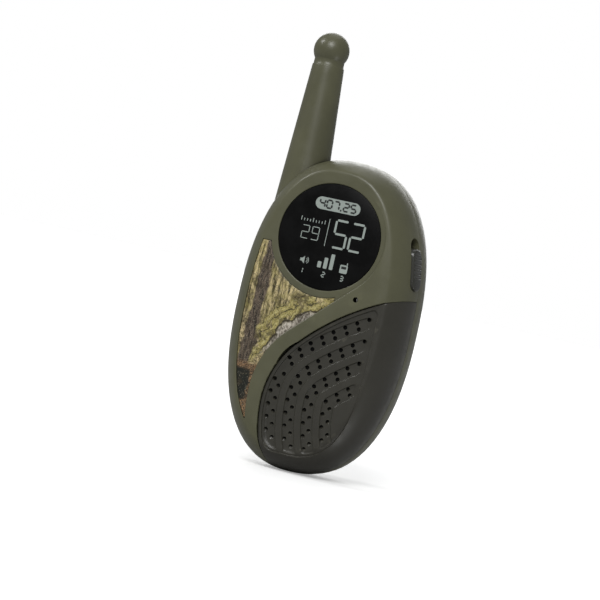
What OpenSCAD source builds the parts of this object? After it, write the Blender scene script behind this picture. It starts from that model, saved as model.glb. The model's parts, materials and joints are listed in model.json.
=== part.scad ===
// Toy walkie talkie: egg-shaped casing with a fixed antenna, sliding power key and talk button.
// X points right seen from the front, +Y out of the back, +Z up.
// The origin lies on the flat back, in the middle of the casing's height.

/* [Casing] */
// Half width of the casing at the seam
half_w = 29.4; // [29.2:0.1:30]
// Half height of the casing at the seam
half_h = 51; // [50.8:0.1:51.6]
// Depth of the front half, seam to face
front_d = 13.7; // [13.6:0.1:14]
// Depth of the rear half, seam to flat back
rear_d = 13.6; // [13.6:0.1:14]
// Wall thickness of both shells
wall = 2.4; // [2.3:0.1:2.5]
// Amount by which the S-shaped band stands proud of the face
band_rise = 0.8; // [0.4:0.1:1]

/* [Face] */
// Radius of the round display
display_r = 17; // [16:0.5:17]
// Height of the display's centre above mid height
display_z = 25.3; // [25:0.1:25.6]
// Thickness of the speaker cover
cover_t = 1.25; // [1:0.05:1.25]
// Diameter of the sound holes
sound_hole_d = 1.3; // [1:0.1:1.5]
// Spacing of the hole channels
channel_pitch = 6.2; // [6:0.1:6.2]
// Depth of the camouflage panel's pocket
inlay_depth = 0.8; // [0.6:0.1:0.9]

/* [Antenna] */
// Height of the ball's centre above mid height
ball_z = 84.8; // [70:0.2:95]
// Radius of the ball tip
ball_r = 5.85; // [5.4:0.05:6]
// Distance of the antenna's axis left of the middle
antenna_x = 17.8; // [17.7:0.1:17.9]

/* [Controls] */
// Travel of the power key
key_travel = 3.2; // [2:0.1:3.2]
// Travel of the talk button
talk_travel = 1.5; // [0.8:0.1:1.6]

/* [Power] */
// Radius of a battery, size AAA
cell_r = 5.25; // [5.1:0.05:5.25]
// Length of a battery with its nub
cell_l = 44.5; // [44:0.1:44.5]

/* [Hidden] */
$fn = 48;

// Colours
olive = [0.29, 0.31, 0.16];
cover_grey = [0.24, 0.25, 0.19];
key_grey = [0.2, 0.21, 0.2];
black = [0.05, 0.05, 0.05];
steel = [0.7, 0.71, 0.72];
copper = [0.75, 0.42, 0.25];
board_green = [0.1, 0.35, 0.2];

// Casing outline: egg exponents above and below the middle, and the points of one ring
n_top = 2.4;
n_bot = 2.35;
ring_steps = 96;
// The flat face is smaller than the seam by these amounts, and its centre sits higher
face_in_w = 5.9;
face_in_h = 5.25;
face_up = 0.75;
// The flat back is smaller than the seam by these amounts
back_in_w = 5.4;
back_in_h = 5;
// Share of a quarter turn that the front wall bends through before the crease
front_bend = asin(0.856);
front_rings = 7;
rear_rings = 8;

// Gaps between fitted pieces
fit = 0.1;
slide_fit = 0.15;
skin_in = cover_t + fit;
lip_in = skin_in + fit;
lip_h = 1.2;

// Curves of the face. Each is an arm, a bend and a leg, three arcs that share their tangents,
// given as [bend centre, bend radius, arm radius, leg radius, tilt where arm and bend meet].
// The cover's edge has its own; the holes and the band's left edge run parallel to the other.
edge_curve = [[18.83, -29.68], 29.2, 79.7, 41.3, 47.25];
flow_curve = [[13.2, -27], 24.4, 95, 58.4, 42];
band_w = 4;
band_turn = 40;
band_rise_r = 60;

// Printed panel: gaps to the face's edge and to the display, and its blunt ends
panel_margin = 0.5;
panel_ring = 2.4;
panel_top = 20.4;
panel_right = 6.4;
panel_foot = -36.9;

// Sound holes: two staggered rows in each channel, as distances in from the flow curve, and where
// each channel's first row starts along the curve
row_in = 3.1;
row_gap = 1.95;
hole_pitch = 4.15;
row_starts = [0.6, -1, 1.2, 1.3];
// The holes stay inside a rounded quarter about this point, with these reaches
plate_c = [2, -12];
plate_reach = [19.4, 33.1];
plate_n = 2.44;

// Stakes that fix the speaker cover, as [x, z], and the inner side of the face
cover_stakes = [[16.5, 0.5], [-5, -36], [6.5, -37.6]];
wall_face = front_d - wall - 0.1;

// Antenna: a tapered rod with a clamping groove near its foot, leaning a little to the right
foot_z = 25;
foot_r = 8.64;
tip_z = ball_z - 4.9;
tip_r = 5.2;
groove = [26.8, 28.8];
groove_r = 7.6;
rod_lean = 0.77;

// Power key
key_y = -4;
key_z0 = 14.3;
slot_l = 13.4 + key_travel;
slot_w = 5.6;
flange_x = 18.8;
flange_t = 1.1;
flange_w = 7;
flange_z = [12, 31];
key_l = slot_l - key_travel - 2 * slide_fit;
key_z = key_z0 + slide_fit + key_l / 2;
rib_r = 0.55;
rib_pitch = 1.6;

// Talk button
talk_y = 3.4;
talk_z = 17.5;
talk_l = 11;
talk_w = 4.4;
talk_flange_x = -23.8;
talk_housing_x = -15.5;
plunger_end = talk_flange_x + 9.65;

// Speaker
spk = [4.5, -20];
spk_r = 14;
ring_ear_r = 17;
ear_angles = [60, 180, 300];

// Circuit board
pcb_y = -1.8;
pcb_t = 1.6;
pcb_posts = [[-2.5, 16.5], [13, 36.5], [-4.5, 37.5]];
pcb_x = 18.4;
pcb_z0 = 13.6;
pcb_z1 = 41.2;
// Parts on its front, as [x, z]
chip_at = [3, 27];
chip_size = [8, 10];
pin_pitch = 1.2;
cap_r = 2.5;
cap_h = 7;
caps = [[-9.9, 21.3], [-8, 16], [3.4, 18.3]];
can_w = 5.2;
can_h = 6;
cans = [[-5.1, 25.5], [-5.1, 32.4]];
crystal_at = [3.6, 36];
crystal_size = [6, 3.4];
crystal_h = 3.5;
solder = 0.05;

// Microphone
mic = [13.4, 7.7];
mic_r = 3;

// Battery bay
cell_y = 6.3;
cell_gap = 11;
bay_z0 = -38;
bay_z1 = 13;
bay_x = 16.9;
bay_wall = 1.4;
cell_z0 = bay_z0 + 0.5;
nub_h = 1;
// Distance of the two soldered contact tails from the middle
tail_x = 8;

// Battery door
door_y = rear_d - 1.85;
door_x = 16.6;
door_top = 18;
hinge_z = -39.6;
hinge_y = 12.4;
hinge_r = 1.1;
hinge_l = 22;
door_screw_z = 15.4;

// Belt clip
rail_z0 = 27;
rail_z1 = 42;
clip_gap = 5;
clip_tip_z = 19.4;

// Screws of the casing, as [x, z]
case_bosses = [[5, 44.6], [-22.4, 5], [22.4, 5], [-7, -45.5], [7, -45.5]];

function spow(v, p) = sign(v) * pow(abs(v), p);

// Points of an egg with half axes a and b
function egg(a, b, steps = ring_steps) = [
    for (i = [0:steps - 1])
        let (t = 360 * i / steps, e = 2 / (sin(t) >= 0 ? n_top : n_bot))
        [a * spow(cos(t), e), b * spow(sin(t), e)]
];

// Levels of the two halves, as [depth, share of the full narrowing]
function front_levels(d) = [
    for (k = [0:front_rings])
        let (p = front_bend * k / front_rings)
        [-d * sin(p) / sin(front_bend), (1 - cos(p)) / (1 - cos(front_bend))]
];
function rear_levels(d) = [
    for (k = [0:rear_rings])
        let (p = 90 * k / rear_rings)
        [d * pow(sin(p), 2 / 3), 1 - pow(cos(p), 2 / 3)]
];

// Solid through rings of egg points; each level is [y, a, b, centre height]
module loft(levels) {
    n = ring_steps;
    last = len(levels) - 1;
    points = [for (l = levels) for (q = egg(l[1], l[2])) [q[0], l[0], q[1] + l[3]]];
    up = levels[last][0] > levels[0][0];
    sides = [
        for (k = [0:last - 1]) for (i = [0:n - 1])
            let (j = (i + 1) % n, a = k * n + i, b = k * n + j, c = a + n, d = b + n)
            each up ? [[a, b, d], [a, d, c]] : [[a, d, b], [a, c, d]]
    ];
    low = [for (i = [0:n - 1]) up ? n - 1 - i : i];
    high = [for (i = [0:n - 1]) last * n + (up ? i : n - 1 - i)];
    polyhedron(points, concat(sides, [low, high]));
}

// Front half, grown by "out", with a straight collar of height "over" behind the seam
module front_half(out = 0, over = 0) {
    rings = [
        for (l = front_levels(front_d + min(out, 0)))
            [l[0], half_w + out - face_in_w * l[1], half_h + out - face_in_h * l[1], face_up * l[1]]
    ];
    loft(concat(over > 0 ? [[over, half_w + out, half_h + out, 0]] : [], rings));
}

// Rear half, grown by "out", with a straight collar of height "over" in front of the seam
module rear_half(out = 0, over = 0) {
    rings = [
        for (l = rear_levels(rear_d + out))
            [l[0], half_w + out - back_in_w * l[1], half_h + out - back_in_h * l[1], 0]
    ];
    loft(concat(over > 0 ? [[-over, half_w + out, half_h + out, 0]] : [], rings));
}

// Everything is drawn about the seam plane and then moved so that the back lies at y = 0
module seated() translate([0, -rear_d, 0]) children();

// A flat outline in X and Z, standing from depth y0 to depth y1
module standing(y0, y1) translate([0, y1, 0]) rotate([90, 0, 0]) linear_extrude(y1 - y0) children();

// A round bar along Y from y0 to y1 at [x, z]
module bar_y(p, r, y0, y1, fn = 48) translate([p[0], y0, p[1]]) rotate([-90, 0, 0])
    cylinder(r = r, h = y1 - y0, $fn = fn);

// A round bar along X from x0 to x1 at depth y and height z
module bar_x(x0, x1, y, z, r) translate([x0, y, z]) rotate([0, 90, 0]) cylinder(r = r, h = x1 - x0);

// A bar along X with a slot-shaped section: centred on y and z, w wide and l high
module slot_x(x0, x1, y, z, w, l) translate([x0, y, z]) rotate([90, 0, 90]) linear_extrude(x1 - x0) {
    square([w, l - w], center = true);
    translate([0, l / 2 - w / 2]) circle(d = w);
    translate([0, w / 2 - l / 2]) circle(d = w);
}

module box(x0, x1, y0, y1, z0, z1) translate([x0, y0, z0]) cube([x1 - x0, y1 - y0, z1 - z0]);

// Path with its corners rounded by curves of four points
function rounded(path, share = 0.35) = [
    for (i = [0:len(path) - 1]) each
        i == 0 || i == len(path) - 1 ? [path[i]] : [
            for (t = [0:0.25:1])
                let (
                    a = path[i] + share * (path[i - 1] - path[i]),
                    b = path[i] + share * (path[i + 1] - path[i])
                )
                (1 - t) * (1 - t) * a + 2 * t * (1 - t) * path[i] + t * t * b
        ]
];

// A wire along a path, with rings of points square to it; no stretch runs along "side"
module wire(path, r = 0.45, side = [1, 0.3, 0.1], ring = 10) {
    line = rounded(path);
    last = len(line) - 1;
    points = [
        for (i = [0:last])
            let (
                run = line[min(i + 1, last)] - line[max(i - 1, 0)],
                u = cross(run, side) / norm(cross(run, side)),
                v = cross(run, u) / norm(run)
            )
            for (k = [0:ring - 1]) let (a = 360 * k / ring) line[i] + r * (cos(a) * u + sin(a) * v)
    ];
    skin = [
        for (i = [0:last - 1]) for (k = [0:ring - 1])
            let (j = (k + 1) % ring, a = i * ring + k, b = i * ring + j)
            each [[a, b + ring, b], [a, a + ring, b + ring]]
    ];
    low = [for (k = [0:ring - 1]) k];
    high = [for (k = [0:ring - 1]) last * ring + ring - 1 - k];
    polyhedron(points, concat(skin, [low, high]));
}

// A coil about Z from z0 to z1, its radius running from r0 to r1
module coil(r0, r1, z0, z1, turns, wire_r, steps = 16, sides = 5) {
    n = turns * steps;
    points = [
        for (i = [0:n]) for (k = [0:sides - 1])
            let (
                f = i / n,
                a = 360 * i / steps,
                b = 360 * k / sides,
                r = r0 + (r1 - r0) * f + wire_r * cos(b)
            )
            [r * cos(a), r * sin(a), z0 + (z1 - z0) * f + wire_r * sin(b)]
    ];
    skin = [
        for (i = [0:n - 1]) for (k = [0:sides - 1])
            let (j = (k + 1) % sides, a = i * sides + k, b = i * sides + j)
            each [[a, b, b + sides], [a, b + sides, a + sides]]
    ];
    low = [for (k = [0:sides - 1]) sides - 1 - k];
    high = [for (k = [0:sides - 1]) n * sides + k];
    polyhedron(points, concat(skin, [low, high]));
}

// Points of an arc about c, from tangent angle t0 to t1, on the curves that bend clockwise
function arc_points(c, r, t0, t1, steps) = [
    for (i = [0:steps])
        let (t = t0 + (t1 - t0) * i / steps)
        c + r * [-sin(t), cos(t)]
];
function arm_centre(c) = c[0] + (c[2] - c[1]) * [sin(c[4]), -cos(c[4])];
function leg_centre(c) = c[0] + [c[3] - c[1], 0];

// The curve at distance d inside curve c, from its lower end to its upper end
function nested(c, d, leg_end = 35, arm_end = 10) = concat(
    arc_points(leg_centre(c), c[3] - d, 90 + leg_end, 90, 10),
    arc_points(c[0], c[1] - d, 90, c[4], 10),
    arc_points(arm_centre(c), c[2] - d, c[4], arm_end, 10)
);

// Point at distance d inside curve c, a run of s past the end of its leg
function spot(c, d, s) =
    let (turn = 180 / PI, bend_run = (c[1] - d) * (90 - c[4]) / turn)
    s < 0 ? arc_points(leg_centre(c), c[3] - d, 90 - s / (c[3] - d) * turn, 0, 1)[0]
    : s < bend_run ? arc_points(c[0], c[1] - d, 90 - s / (c[1] - d) * turn, 0, 1)[0]
    : arc_points(arm_centre(c), c[2] - d, c[4] - (s - bend_run) / (c[2] - d) * turn, 0, 1)[0];

// Area of the speaker cover, drawn larger by "out"
module cover_area(out = 0) polygon(concat(nested(edge_curve, -out), [[60, 12], [60, -60], [10, -60]]));

// Flat face outline, drawn smaller by "in"
module face_area(in = 0) translate([0, face_up])
    polygon(egg(half_w - face_in_w - in, half_h - face_in_h - in));

// Left edge of the raised band: parallel to the flow curve, then rising to the display
function crease() = let (c = flow_curve, low = concat(
    arc_points(leg_centre(c), c[3] + band_w, 115, 90, 8),
    arc_points(c[0], c[1] + band_w, 90, band_turn, 10)
), p = low[len(low) - 1]) concat(low, [
    for (i = [1:8])
        let (t = band_turn + 3 * i)
        p + band_rise_r * [sin(t) - sin(band_turn), cos(band_turn) - cos(t)]
]);

module band_area() difference() {
    polygon(concat(crease(), [[40, 30], [60, 12], [60, -60], [10, -60]]));
    cover_area(fit);
    translate([0, display_z]) circle(r = display_r + 1.2);
    translate([10, 13.5]) rotate(-14) square([40, 30]);
}

module inlay_area(gap = 0) difference() {
    intersection() {
        face_area(panel_margin + gap);
        polygon(concat([for (p = crease()) p - [gap, 0]], [[40, 60], [-60, 60], [-60, -60]]));
        translate([-half_w, panel_foot + gap])
            square([half_w + panel_right - gap, panel_top - panel_foot - 2 * gap]);
    }
    translate([0, display_z]) circle(r = display_r + panel_ring + gap, $fn = 96);
}

// Antenna rod and ball, grown by "gap" to cut the room for it
function rod_r(z) = foot_r + (tip_r - foot_r) * (z - foot_z) / (tip_z - foot_z);
module antenna_solid(gap = 0) translate([-antenna_x, 0, ball_z]) rotate([0, -rod_lean, 0]) {
    translate([0, 0, -ball_z]) rotate_extrude($fn = 96) polygon([
        [0, foot_z - gap],
        [foot_r + gap, foot_z - gap],
        [rod_r(groove[0]) + gap, groove[0] + gap],
        [groove_r + gap, groove[0] + gap],
        [groove_r + gap, groove[1] - gap],
        [rod_r(groove[1]) + gap, groove[1] - gap],
        [tip_r + gap, tip_z],
        [0, tip_z]
    ]);
    sphere(r = ball_r + gap, $fn = 64);
}

// Openings along the right wall and the left wall
module key_slot() slot_x(flange_x + 1.3, 40, key_y, key_z0 + slot_l / 2, slot_w, slot_l);
module talk_slot() slot_x(-40, -23.9, talk_y, talk_z, talk_w + 2 * slide_fit, talk_l + 2 * slide_fit);

// Two staggered rows of holes along each channel of the grille
module sound_holes(y0, y1) {
    for (c = [0:3], row = [0:1], i = [-5:11]) {
        d = row_in + c * channel_pitch + row * row_gap;
        p = spot(flow_curve, d, row_starts[c] + (i + row / 2) * hole_pitch);
        right = max(p[0] - plate_c[0], 0) / plate_reach[0];
        down = max(plate_c[1] - p[1], 0) / plate_reach[1];
        if (p[0] < 19.5 && pow(right, plate_n) + pow(down, plate_n) < 0.83)
            bar_y(p, sound_hole_d / 2, y0, y1, 16);
    }
}

module front_shell() color(olive) seated() difference() {
    union() {
        difference() {
            front_half();
            front_half(-wall, over = 1);
        }
        standing(-front_d - band_rise, -front_d + 0.5) intersection() {
            band_area();
            face_area(0.4);
        }
        intersection() {
            front_half(-1);
            union() {
                for (p = case_bosses) bar_y(p, 2.4, -front_d, -0.1);
                for (p = pcb_posts) bar_y(p, 2.2, -front_d, pcb_y);
                for (a = ear_angles) bar_y(spk + ring_ear_r * [cos(a), sin(a)], 2, -front_d, -9.4);
                bar_y(mic, mic_r + 1.2, -front_d, -8.6);
                box(-27, -8.7, -front_d, -0.05, groove[0] - 1, groove[1] + 1.5);
            }
        }
    }
    // Step that the speaker cover lies in, and the seat of the rear shell's lip
    difference() {
        standing(-front_d - 2, 1) cover_area(fit);
        front_half(-skin_in, over = 2);
    }
    standing(-lip_h - fit, 1) polygon(egg(half_w - skin_in, half_h - skin_in));
    // Speaker opening and the holes for the cover's stakes
    bar_y(spk, spk_r - 1.3, -front_d - 1, -8);
    for (p = cover_stakes) bar_y(p, 1.9, -front_d - 1, -8);
    // Recesses of the display and of the printed panel, and the microphone's hole and seat
    bar_y([0, display_z], display_r + fit, -front_d - 2, -front_d + 0.6, 96);
    standing(-front_d - 2, -front_d + inlay_depth) inlay_area();
    bar_y(mic, 0.85, -20, 0);
    bar_y(mic, mic_r + solder, -wall_face - 0.1, 0);
    // Slot of the power key, bores for screws and room for the antenna
    key_slot();
    for (p = case_bosses) bar_y(p, 0.95, -7.5, 1);
    for (p = pcb_posts) bar_y(p, 0.95, -9, 1);
    for (a = ear_angles) bar_y(spk + ring_ear_r * [cos(a), sin(a)], 0.8, -wall_face, 0);
    antenna_solid(fit);
}

module speaker_cover() color(cover_grey) seated() difference() {
    union() {
        intersection() {
            difference() {
                front_half();
                front_half(-cover_t, over = 1);
            }
            standing(-front_d - 1, -0.3) cover_area();
        }
        for (p = cover_stakes) {
            bar_y(p, 1.8, -front_d + 0.5, -10.5);
            bar_y(p, 2.6, -wall_face, -10.2);
        }
    }
    sound_holes(-front_d - 1, -front_d + 3);
}

module camo_inlay() color([0.4, 0.38, 0.2]) seated()
    standing(-front_d, -front_d + inlay_depth - 0.05) inlay_area(fit);

module display_disc() color(black) seated() bar_y([0, display_z], display_r, -front_d, -front_d + 0.55, 96);

module antenna() color(olive) seated() difference() {
    antenna_solid();
    // Bore for the aerial wire
    translate([-antenna_x, 0, 20]) cylinder(r = 1, h = 54, $fn = 24);
}

module antenna_wire() color(copper) seated()
    wire([
        [-antenna_x, 0, 72],
        [-antenna_x, 0, 26],
        [-antenna_x, 0, 23],
        [-14, -3.6, 21.5],
        [-12, -4.6, 18],
        [-12, pcb_y - 0.05, 18]
    ], 0.5);

module power_key() color(key_grey) seated() difference() {
    union() {
        intersection() {
            slot_x(flange_x, 40, key_y, key_z, slot_w - 2 * slide_fit, key_l);
            front_half(1, over = 2);
        }
        slot_x(
            flange_x, flange_x + flange_t, key_y - 0.1, (flange_z[0] + flange_z[1]) / 2,
            flange_w, flange_z[1] - flange_z[0]
        );
    }
    // Window for the switch's lever, and the ribs of the grip
    box(flange_x - 1, flange_x + 2, key_y - 1, key_y + 1, key_z - 1.2, key_z + 1.2);
    for (i = [0:5]) translate([half_w - 0.8, key_y - 4, key_z - 2.6 + rib_pitch * i]) rotate([-90, 0, 0])
        cylinder(r = rib_r, h = 8, $fn = 24);
}

module slide_lever() color([0.85, 0.85, 0.82]) seated() {
    box(14.6, flange_x + flange_t, key_y - 0.8, key_y + 0.8, key_z - 1, key_z + 1);
    box(13.4, 14.6, key_y - 1.2, key_y + 1.2, key_z - 1.6, key_z + 1.6);
}

module slide_switch() color(steel) seated() difference() {
    box(11.4, 16.6, key_y - 2, pcb_y - 0.02, key_z - 5, key_z + 5 + key_travel);
    box(13.2, 14.8, key_y - 1.35, key_y + 1.35, key_z - 1.9, key_z + 1.9 + key_travel);
    box(14, 20, key_y - 1, key_y + 1, key_z - 1.3, key_z + 1.3 + key_travel);
}

module talk_button() color(key_grey) seated() {
    intersection() {
        slot_x(-40, talk_flange_x + 0.6, talk_y, talk_z, talk_w, talk_l);
        rear_half(1.2, over = 2);
    }
    box(talk_flange_x, talk_flange_x + 1.2, talk_y - 2.9, talk_y + 3.1, talk_z - 7, talk_z + 7);
}

module talk_plunger() color([0.85, 0.85, 0.82]) seated()
    bar_x(talk_flange_x + 1.25, plunger_end, talk_y, talk_z, 1.3);

module talk_switch() color(black) seated() difference() {
    box(talk_housing_x, talk_housing_x + 5.7, -0.17, talk_y + 3, talk_z - 2.5, talk_z + 2.5);
    bar_x(talk_housing_x - 1, plunger_end + talk_travel + 0.65, talk_y, talk_z, 1.38);
}

module talk_spring() color(steel) seated()
    translate([talk_flange_x + 1.2, talk_y, talk_z]) rotate([0, 90, 0])
    coil(2.2, 2.2, 0.35, talk_housing_x - talk_flange_x - 1.2 - 0.35, 5, 0.28);

module pcb() color(board_green) seated() difference() {
    standing(pcb_y, pcb_y + pcb_t) intersection() {
        union() {
            translate([-pcb_x, pcb_z0]) square([2 * pcb_x, 5]);
            translate([-13, pcb_z0]) square([13 + pcb_x, 10.9]);
            translate([-8.1, pcb_z0]) square([8.1 + pcb_x, pcb_z1 - pcb_z0]);
        }
        polygon(egg(half_w - 5, half_h - 5));
    }
    for (p = pcb_posts) bar_y(p, 1.05, -5, 5, 24);
}

// A self-tapping screw pointing to -Y with its head's top at y
module screw(p, y, l, head_r = 1.9, head_h = 1.4, r = 0.9) difference() {
    union() {
        bar_y(p, head_r, y - head_h, y, 32);
        bar_y(p, r, y - head_h - l, y - head_h + 0.1, 24);
    }
    // Cross recess
    for (a = [0, 90]) translate([p[0], y, p[1]]) rotate([0, a, 0])
        cube([head_r * 1.2, 1.4, 0.5], center = true);
}

module pcb_screws() color(steel) seated()
    for (p = pcb_posts) screw(p, pcb_y + pcb_t + 0.95, 6.5, head_h = 0.9);

module ring_screws() color(steel) seated() for (a = ear_angles)
    screw(spk + ring_ear_r * [cos(a), sin(a)], -7.1, 2.6, 1.6, 1, 0.75);

module case_screws() color(steel) seated() for (p = case_bosses) screw(p, 6.45, 11.5);

module chip() color(black) seated() {
    standing(pcb_y - 1.9, pcb_y - 0.3) translate(chip_at) square(chip_size, center = true);
    for (i = [-3:3], s = [-1, 1])
        translate([chip_at[0] + s * (chip_size[0] / 2 + 0.6), pcb_y - 0.6, chip_at[1] + pin_pitch * i])
            cube([1.4, 1.1, 0.5], center = true);
}

module capacitors() color([0.1, 0.15, 0.35]) seated()
    for (q = caps) bar_y(q, cap_r, pcb_y - solder - cap_h, pcb_y - solder, 32);

module coil_cans() color(steel) seated() for (q = cans) difference() {
    standing(pcb_y - solder - can_h, pcb_y - solder) translate(q) square(can_w, center = true);
    bar_y(q, can_w / 4, pcb_y - can_h - 1, pcb_y - can_h + 2, 24);
}

module crystal() color(steel) seated()
    standing(pcb_y - solder - crystal_h, pcb_y - solder) translate(crystal_at) {
        square(crystal_size, center = true);
        for (s = [-1, 1]) translate([s * crystal_size[0] / 2, 0]) circle(d = crystal_size[1]);
    }

module microphone() color(steel) seated() difference() {
    bar_y(mic, mic_r, -wall_face - 0.05, -8.7, 32);
    bar_y(mic, 1, -12, -10.6, 24);
}

module speaker_basket() color(steel) seated() translate([spk[0], -wall_face, spk[1]]) rotate([-90, 0, 0])
    rotate_extrude($fn = 64) polygon([
        [spk_r - 1.1, 0],
        [spk_r, 0],
        [spk_r, 1.2],
        [spk_r - 1.5, 1.2],
        [8.6, 5.4],
        [4, 5.4],
        [4, 4.6],
        [8.2, 4.6],
        [spk_r - 1.9, 0.8],
        [spk_r - 1.1, 0.8]
    ]);

module speaker_magnet() color([0.15, 0.15, 0.16]) seated() bar_y(spk, 8, 5.45 - wall_face, -2.2, 64);

module speaker_cone() color([0.12, 0.11, 0.1]) seated()
    translate([spk[0], -wall_face, spk[1]]) rotate([-90, 0, 0])
    rotate_extrude($fn = 64) polygon([
        [0, 1.3],
        [3.6, 2.5],
        [spk_r - 2.2, 0.2],
        [spk_r - 1.15, 0.2],
        [spk_r - 1.15, 0.5],
        [spk_r - 2.1, 0.5],
        [3.9, 2.9],
        [3.9, 4],
        [3.5, 4],
        [3.5, 2.85],
        [0, 1.65]
    ]);

module speaker_ring() color(black) seated() difference() {
    standing(-9.35, -8.15) {
        difference() {
            translate(spk) circle(r = spk_r + 0.8, $fn = 64);
            translate(spk) circle(r = spk_r - 1.3, $fn = 64);
        }
        for (a = ear_angles) translate(spk + ring_ear_r * [cos(a), sin(a)]) difference() {
            circle(r = 2.3);
            circle(r = 0.85);
        }
    }
    for (a = ear_angles) bar_y(spk + ring_ear_r * [cos(a), sin(a)], 0.85, -12, 0);
}

// Two wires from the speaker's rim up to the board
module speaker_wires() color([0.7, 0.1, 0.1]) seated() for (s = [-1, 1]) wire([
    [5.5 + 1.5 * s, -5.4, spk[1] + 8.7],
    [5.5 + 1.5 * s, -3, -2],
    [6 + s, -3.6, pcb_z0 + 2.2],
    [6 + s, pcb_y - solder, pcb_z0 + 2.2]
]);

module mic_wires() color([0.1, 0.1, 0.6]) seated() for (s = [-0.9, 0.9]) wire([
    [mic[0] + 0.1 + s, -8.65, mic[1]],
    [mic[0] + 0.1 + s, -4.5, mic[1]],
    [mic[0] - 0.5 + s, -3.8, pcb_z0 + 1.4],
    [mic[0] - 0.5 + s, pcb_y - solder, pcb_z0 + 1.4]
], 0.35);

module battery_wires() color([0.6, 0.1, 0.1]) seated() for (s = [-1, 1])
    wire([
        [s * tail_x, 2.25, bay_z1 + bay_wall + 0.9],
        [s * (tail_x - 0.4), 3, bay_z1 + 3],
        [s * 6.4, 2, bay_z1 + 4.8],
        [s * 6.4, pcb_y + pcb_t + 0.05, bay_z1 + 4.8]
    ], 0.4);

module contact_plates() color(steel) seated() {
    for (x = [-cell_gap, 0, cell_gap]) box(x - 4.6, x + 4.6, 2, 10.4, bay_z1 - 0.45, bay_z1 - 0.05);
    for (s = [-1, 1])
        box(s * tail_x - 1.2, s * tail_x + 1.2, 1.4, 1.8, bay_z1 - 0.45, bay_z1 + bay_wall + 1.2);
    for (s = [-1, 1]) box(s * tail_x - 1.2, s * tail_x + 1.2, 1.4, 2.1, bay_z1 - 0.45, bay_z1 - 0.05);
    box(-cell_gap - 4.6, 4.6, 2, 10.4, bay_z0 + 0.05, bay_z0 + 0.45);
    box(cell_gap - 4.6, cell_gap + 4.6, 2, 10.4, bay_z0 + 0.05, bay_z0 + 0.45);
}

module contact_springs() color(steel) seated() for (x = [-1, 0, 1])
    translate([x * cell_gap, cell_y, 0])
        coil(3.2, 1.8, cell_z0 + cell_l + 0.35, bay_z1 - 0.8, 4, 0.3);

module batteries() color([0.5, 0.53, 0.55]) seated() for (x = [-1, 0, 1])
    translate([x * cell_gap, cell_y, cell_z0]) {
        translate([0, 0, nub_h]) cylinder(r = cell_r, h = cell_l - nub_h);
        cylinder(r = 1.9, h = nub_h + 0.1, $fn = 32);
    }

// Outline of the battery door, drawn larger by "out"
module door_area(out = 0) {
    r = 5;
    w = door_x + out;
    top = door_top + out;
    low = bay_z0 + 0.4 - out;
    translate([-w, low + r]) square([2 * w, top - low - 2 * r]);
    translate([r - w, low]) square([2 * (w - r), top - low]);
    for (s = [-1, 1], z = [low + r, top - r]) translate([s * (w - r), z]) circle(r = r);
}

module rear_shell() color(olive) seated() difference() {
    union() {
        difference() {
            rear_half();
            rear_half(-wall, over = 1);
        }
        // Lip that centres the front shell
        standing(-lip_h, 1) difference() {
            polygon(egg(half_w - lip_in, half_h - lip_in));
            polygon(egg(half_w - wall, half_h - wall));
            translate([-half_w, foot_z - 1]) square([half_w - antenna_x + foot_r + 2, half_h]);
        }
        intersection() {
            rear_half(-1);
            union() {
                for (p = case_bosses) bar_y(p, 3, 0.02, rear_d);
                // Battery box with its floor, and the blocks under the door's two ends
                box(
                    -bay_x - bay_wall, bay_x + bay_wall, 0.02, rear_d,
                    bay_z0 - bay_wall, bay_z1 + bay_wall
                );
                box(-bay_x - bay_wall, bay_x + bay_wall, 9, rear_d, bay_z1, door_top + 1.4);
                box(-16, 16, 6, rear_d, bay_z0 - 5, bay_z0);
                bar_y([0, door_screw_z], 3, 4.5, rear_d);
                box(-27, -8.7, 0.05, rear_d, groove[0] - 1, groove[1] + 1.5);
            }
        }
        // Rail for the belt clip
        box(-4, 4, rear_d - 1, rear_d + 1.4, rail_z0, rail_z1);
        box(-6, 6, rear_d + 1.4, rear_d + 2.6, rail_z0, rail_z1);
    }
    // Inside of the battery box and the door's recess
    box(-bay_x, bay_x, 0.95, rear_d, bay_z0, bay_z1);
    standing(door_y - 0.1, rear_d + 1) door_area(fit);
    for (s = [-1, 1]) box(s * tail_x - 1.3, s * tail_x + 1.3, 1.3, 1.9, bay_z1 - 1, bay_z1 + bay_wall + 1);
    // Hinge pocket and the sockets of its two pins
    bar_x(-hinge_l / 2 - 0.2, hinge_l / 2 + 0.2, hinge_y, hinge_z, hinge_r + 0.3);
    box(-hinge_l / 2 - 0.2, hinge_l / 2 + 0.2, hinge_y - 1.4, rear_d + 1, hinge_z, bay_z0 + 1);
    box(-hinge_l / 2 - 0.2, hinge_l / 2 + 0.2, hinge_y, rear_d + 1, hinge_z - 2, bay_z0);
    bar_x(-hinge_l / 2 - 2, hinge_l / 2 + 2, hinge_y, hinge_z, 0.75);
    // Bores
    bar_y([0, door_screw_z], 1.3, 6, rear_d + 1, 32);
    for (p = case_bosses) {
        bar_y(p, 1.1, -2, 5.1);
        bar_y(p, 2.05, 5, rear_d + 1);
    }
    talk_slot();
    antenna_solid(fit);
}

module battery_door() color(olive) seated() difference() {
    union() {
        intersection() {
            rear_half();
            standing(door_y, rear_d + 1) door_area(0);
        }
        bar_x(-hinge_l / 2, hinge_l / 2, hinge_y, hinge_z, hinge_r);
        bar_x(-hinge_l / 2 - 1.8, hinge_l / 2 + 1.8, hinge_y, hinge_z, 0.7);
        box(-hinge_l / 2, hinge_l / 2, door_y + 0.1, rear_d - 0.1, hinge_z, bay_z0 + 1);
    }
    bar_y([0, door_screw_z], 1.4, 5, rear_d + 1, 32);
    bar_y([0, door_screw_z], 2.7, rear_d - 0.9, rear_d + 1, 32);
    // Finger grooves
    for (i = [-1:1]) bar_x(-6, 6, rear_d + 0.9, 2 + 2.4 * i, 1.2);
}

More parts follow.
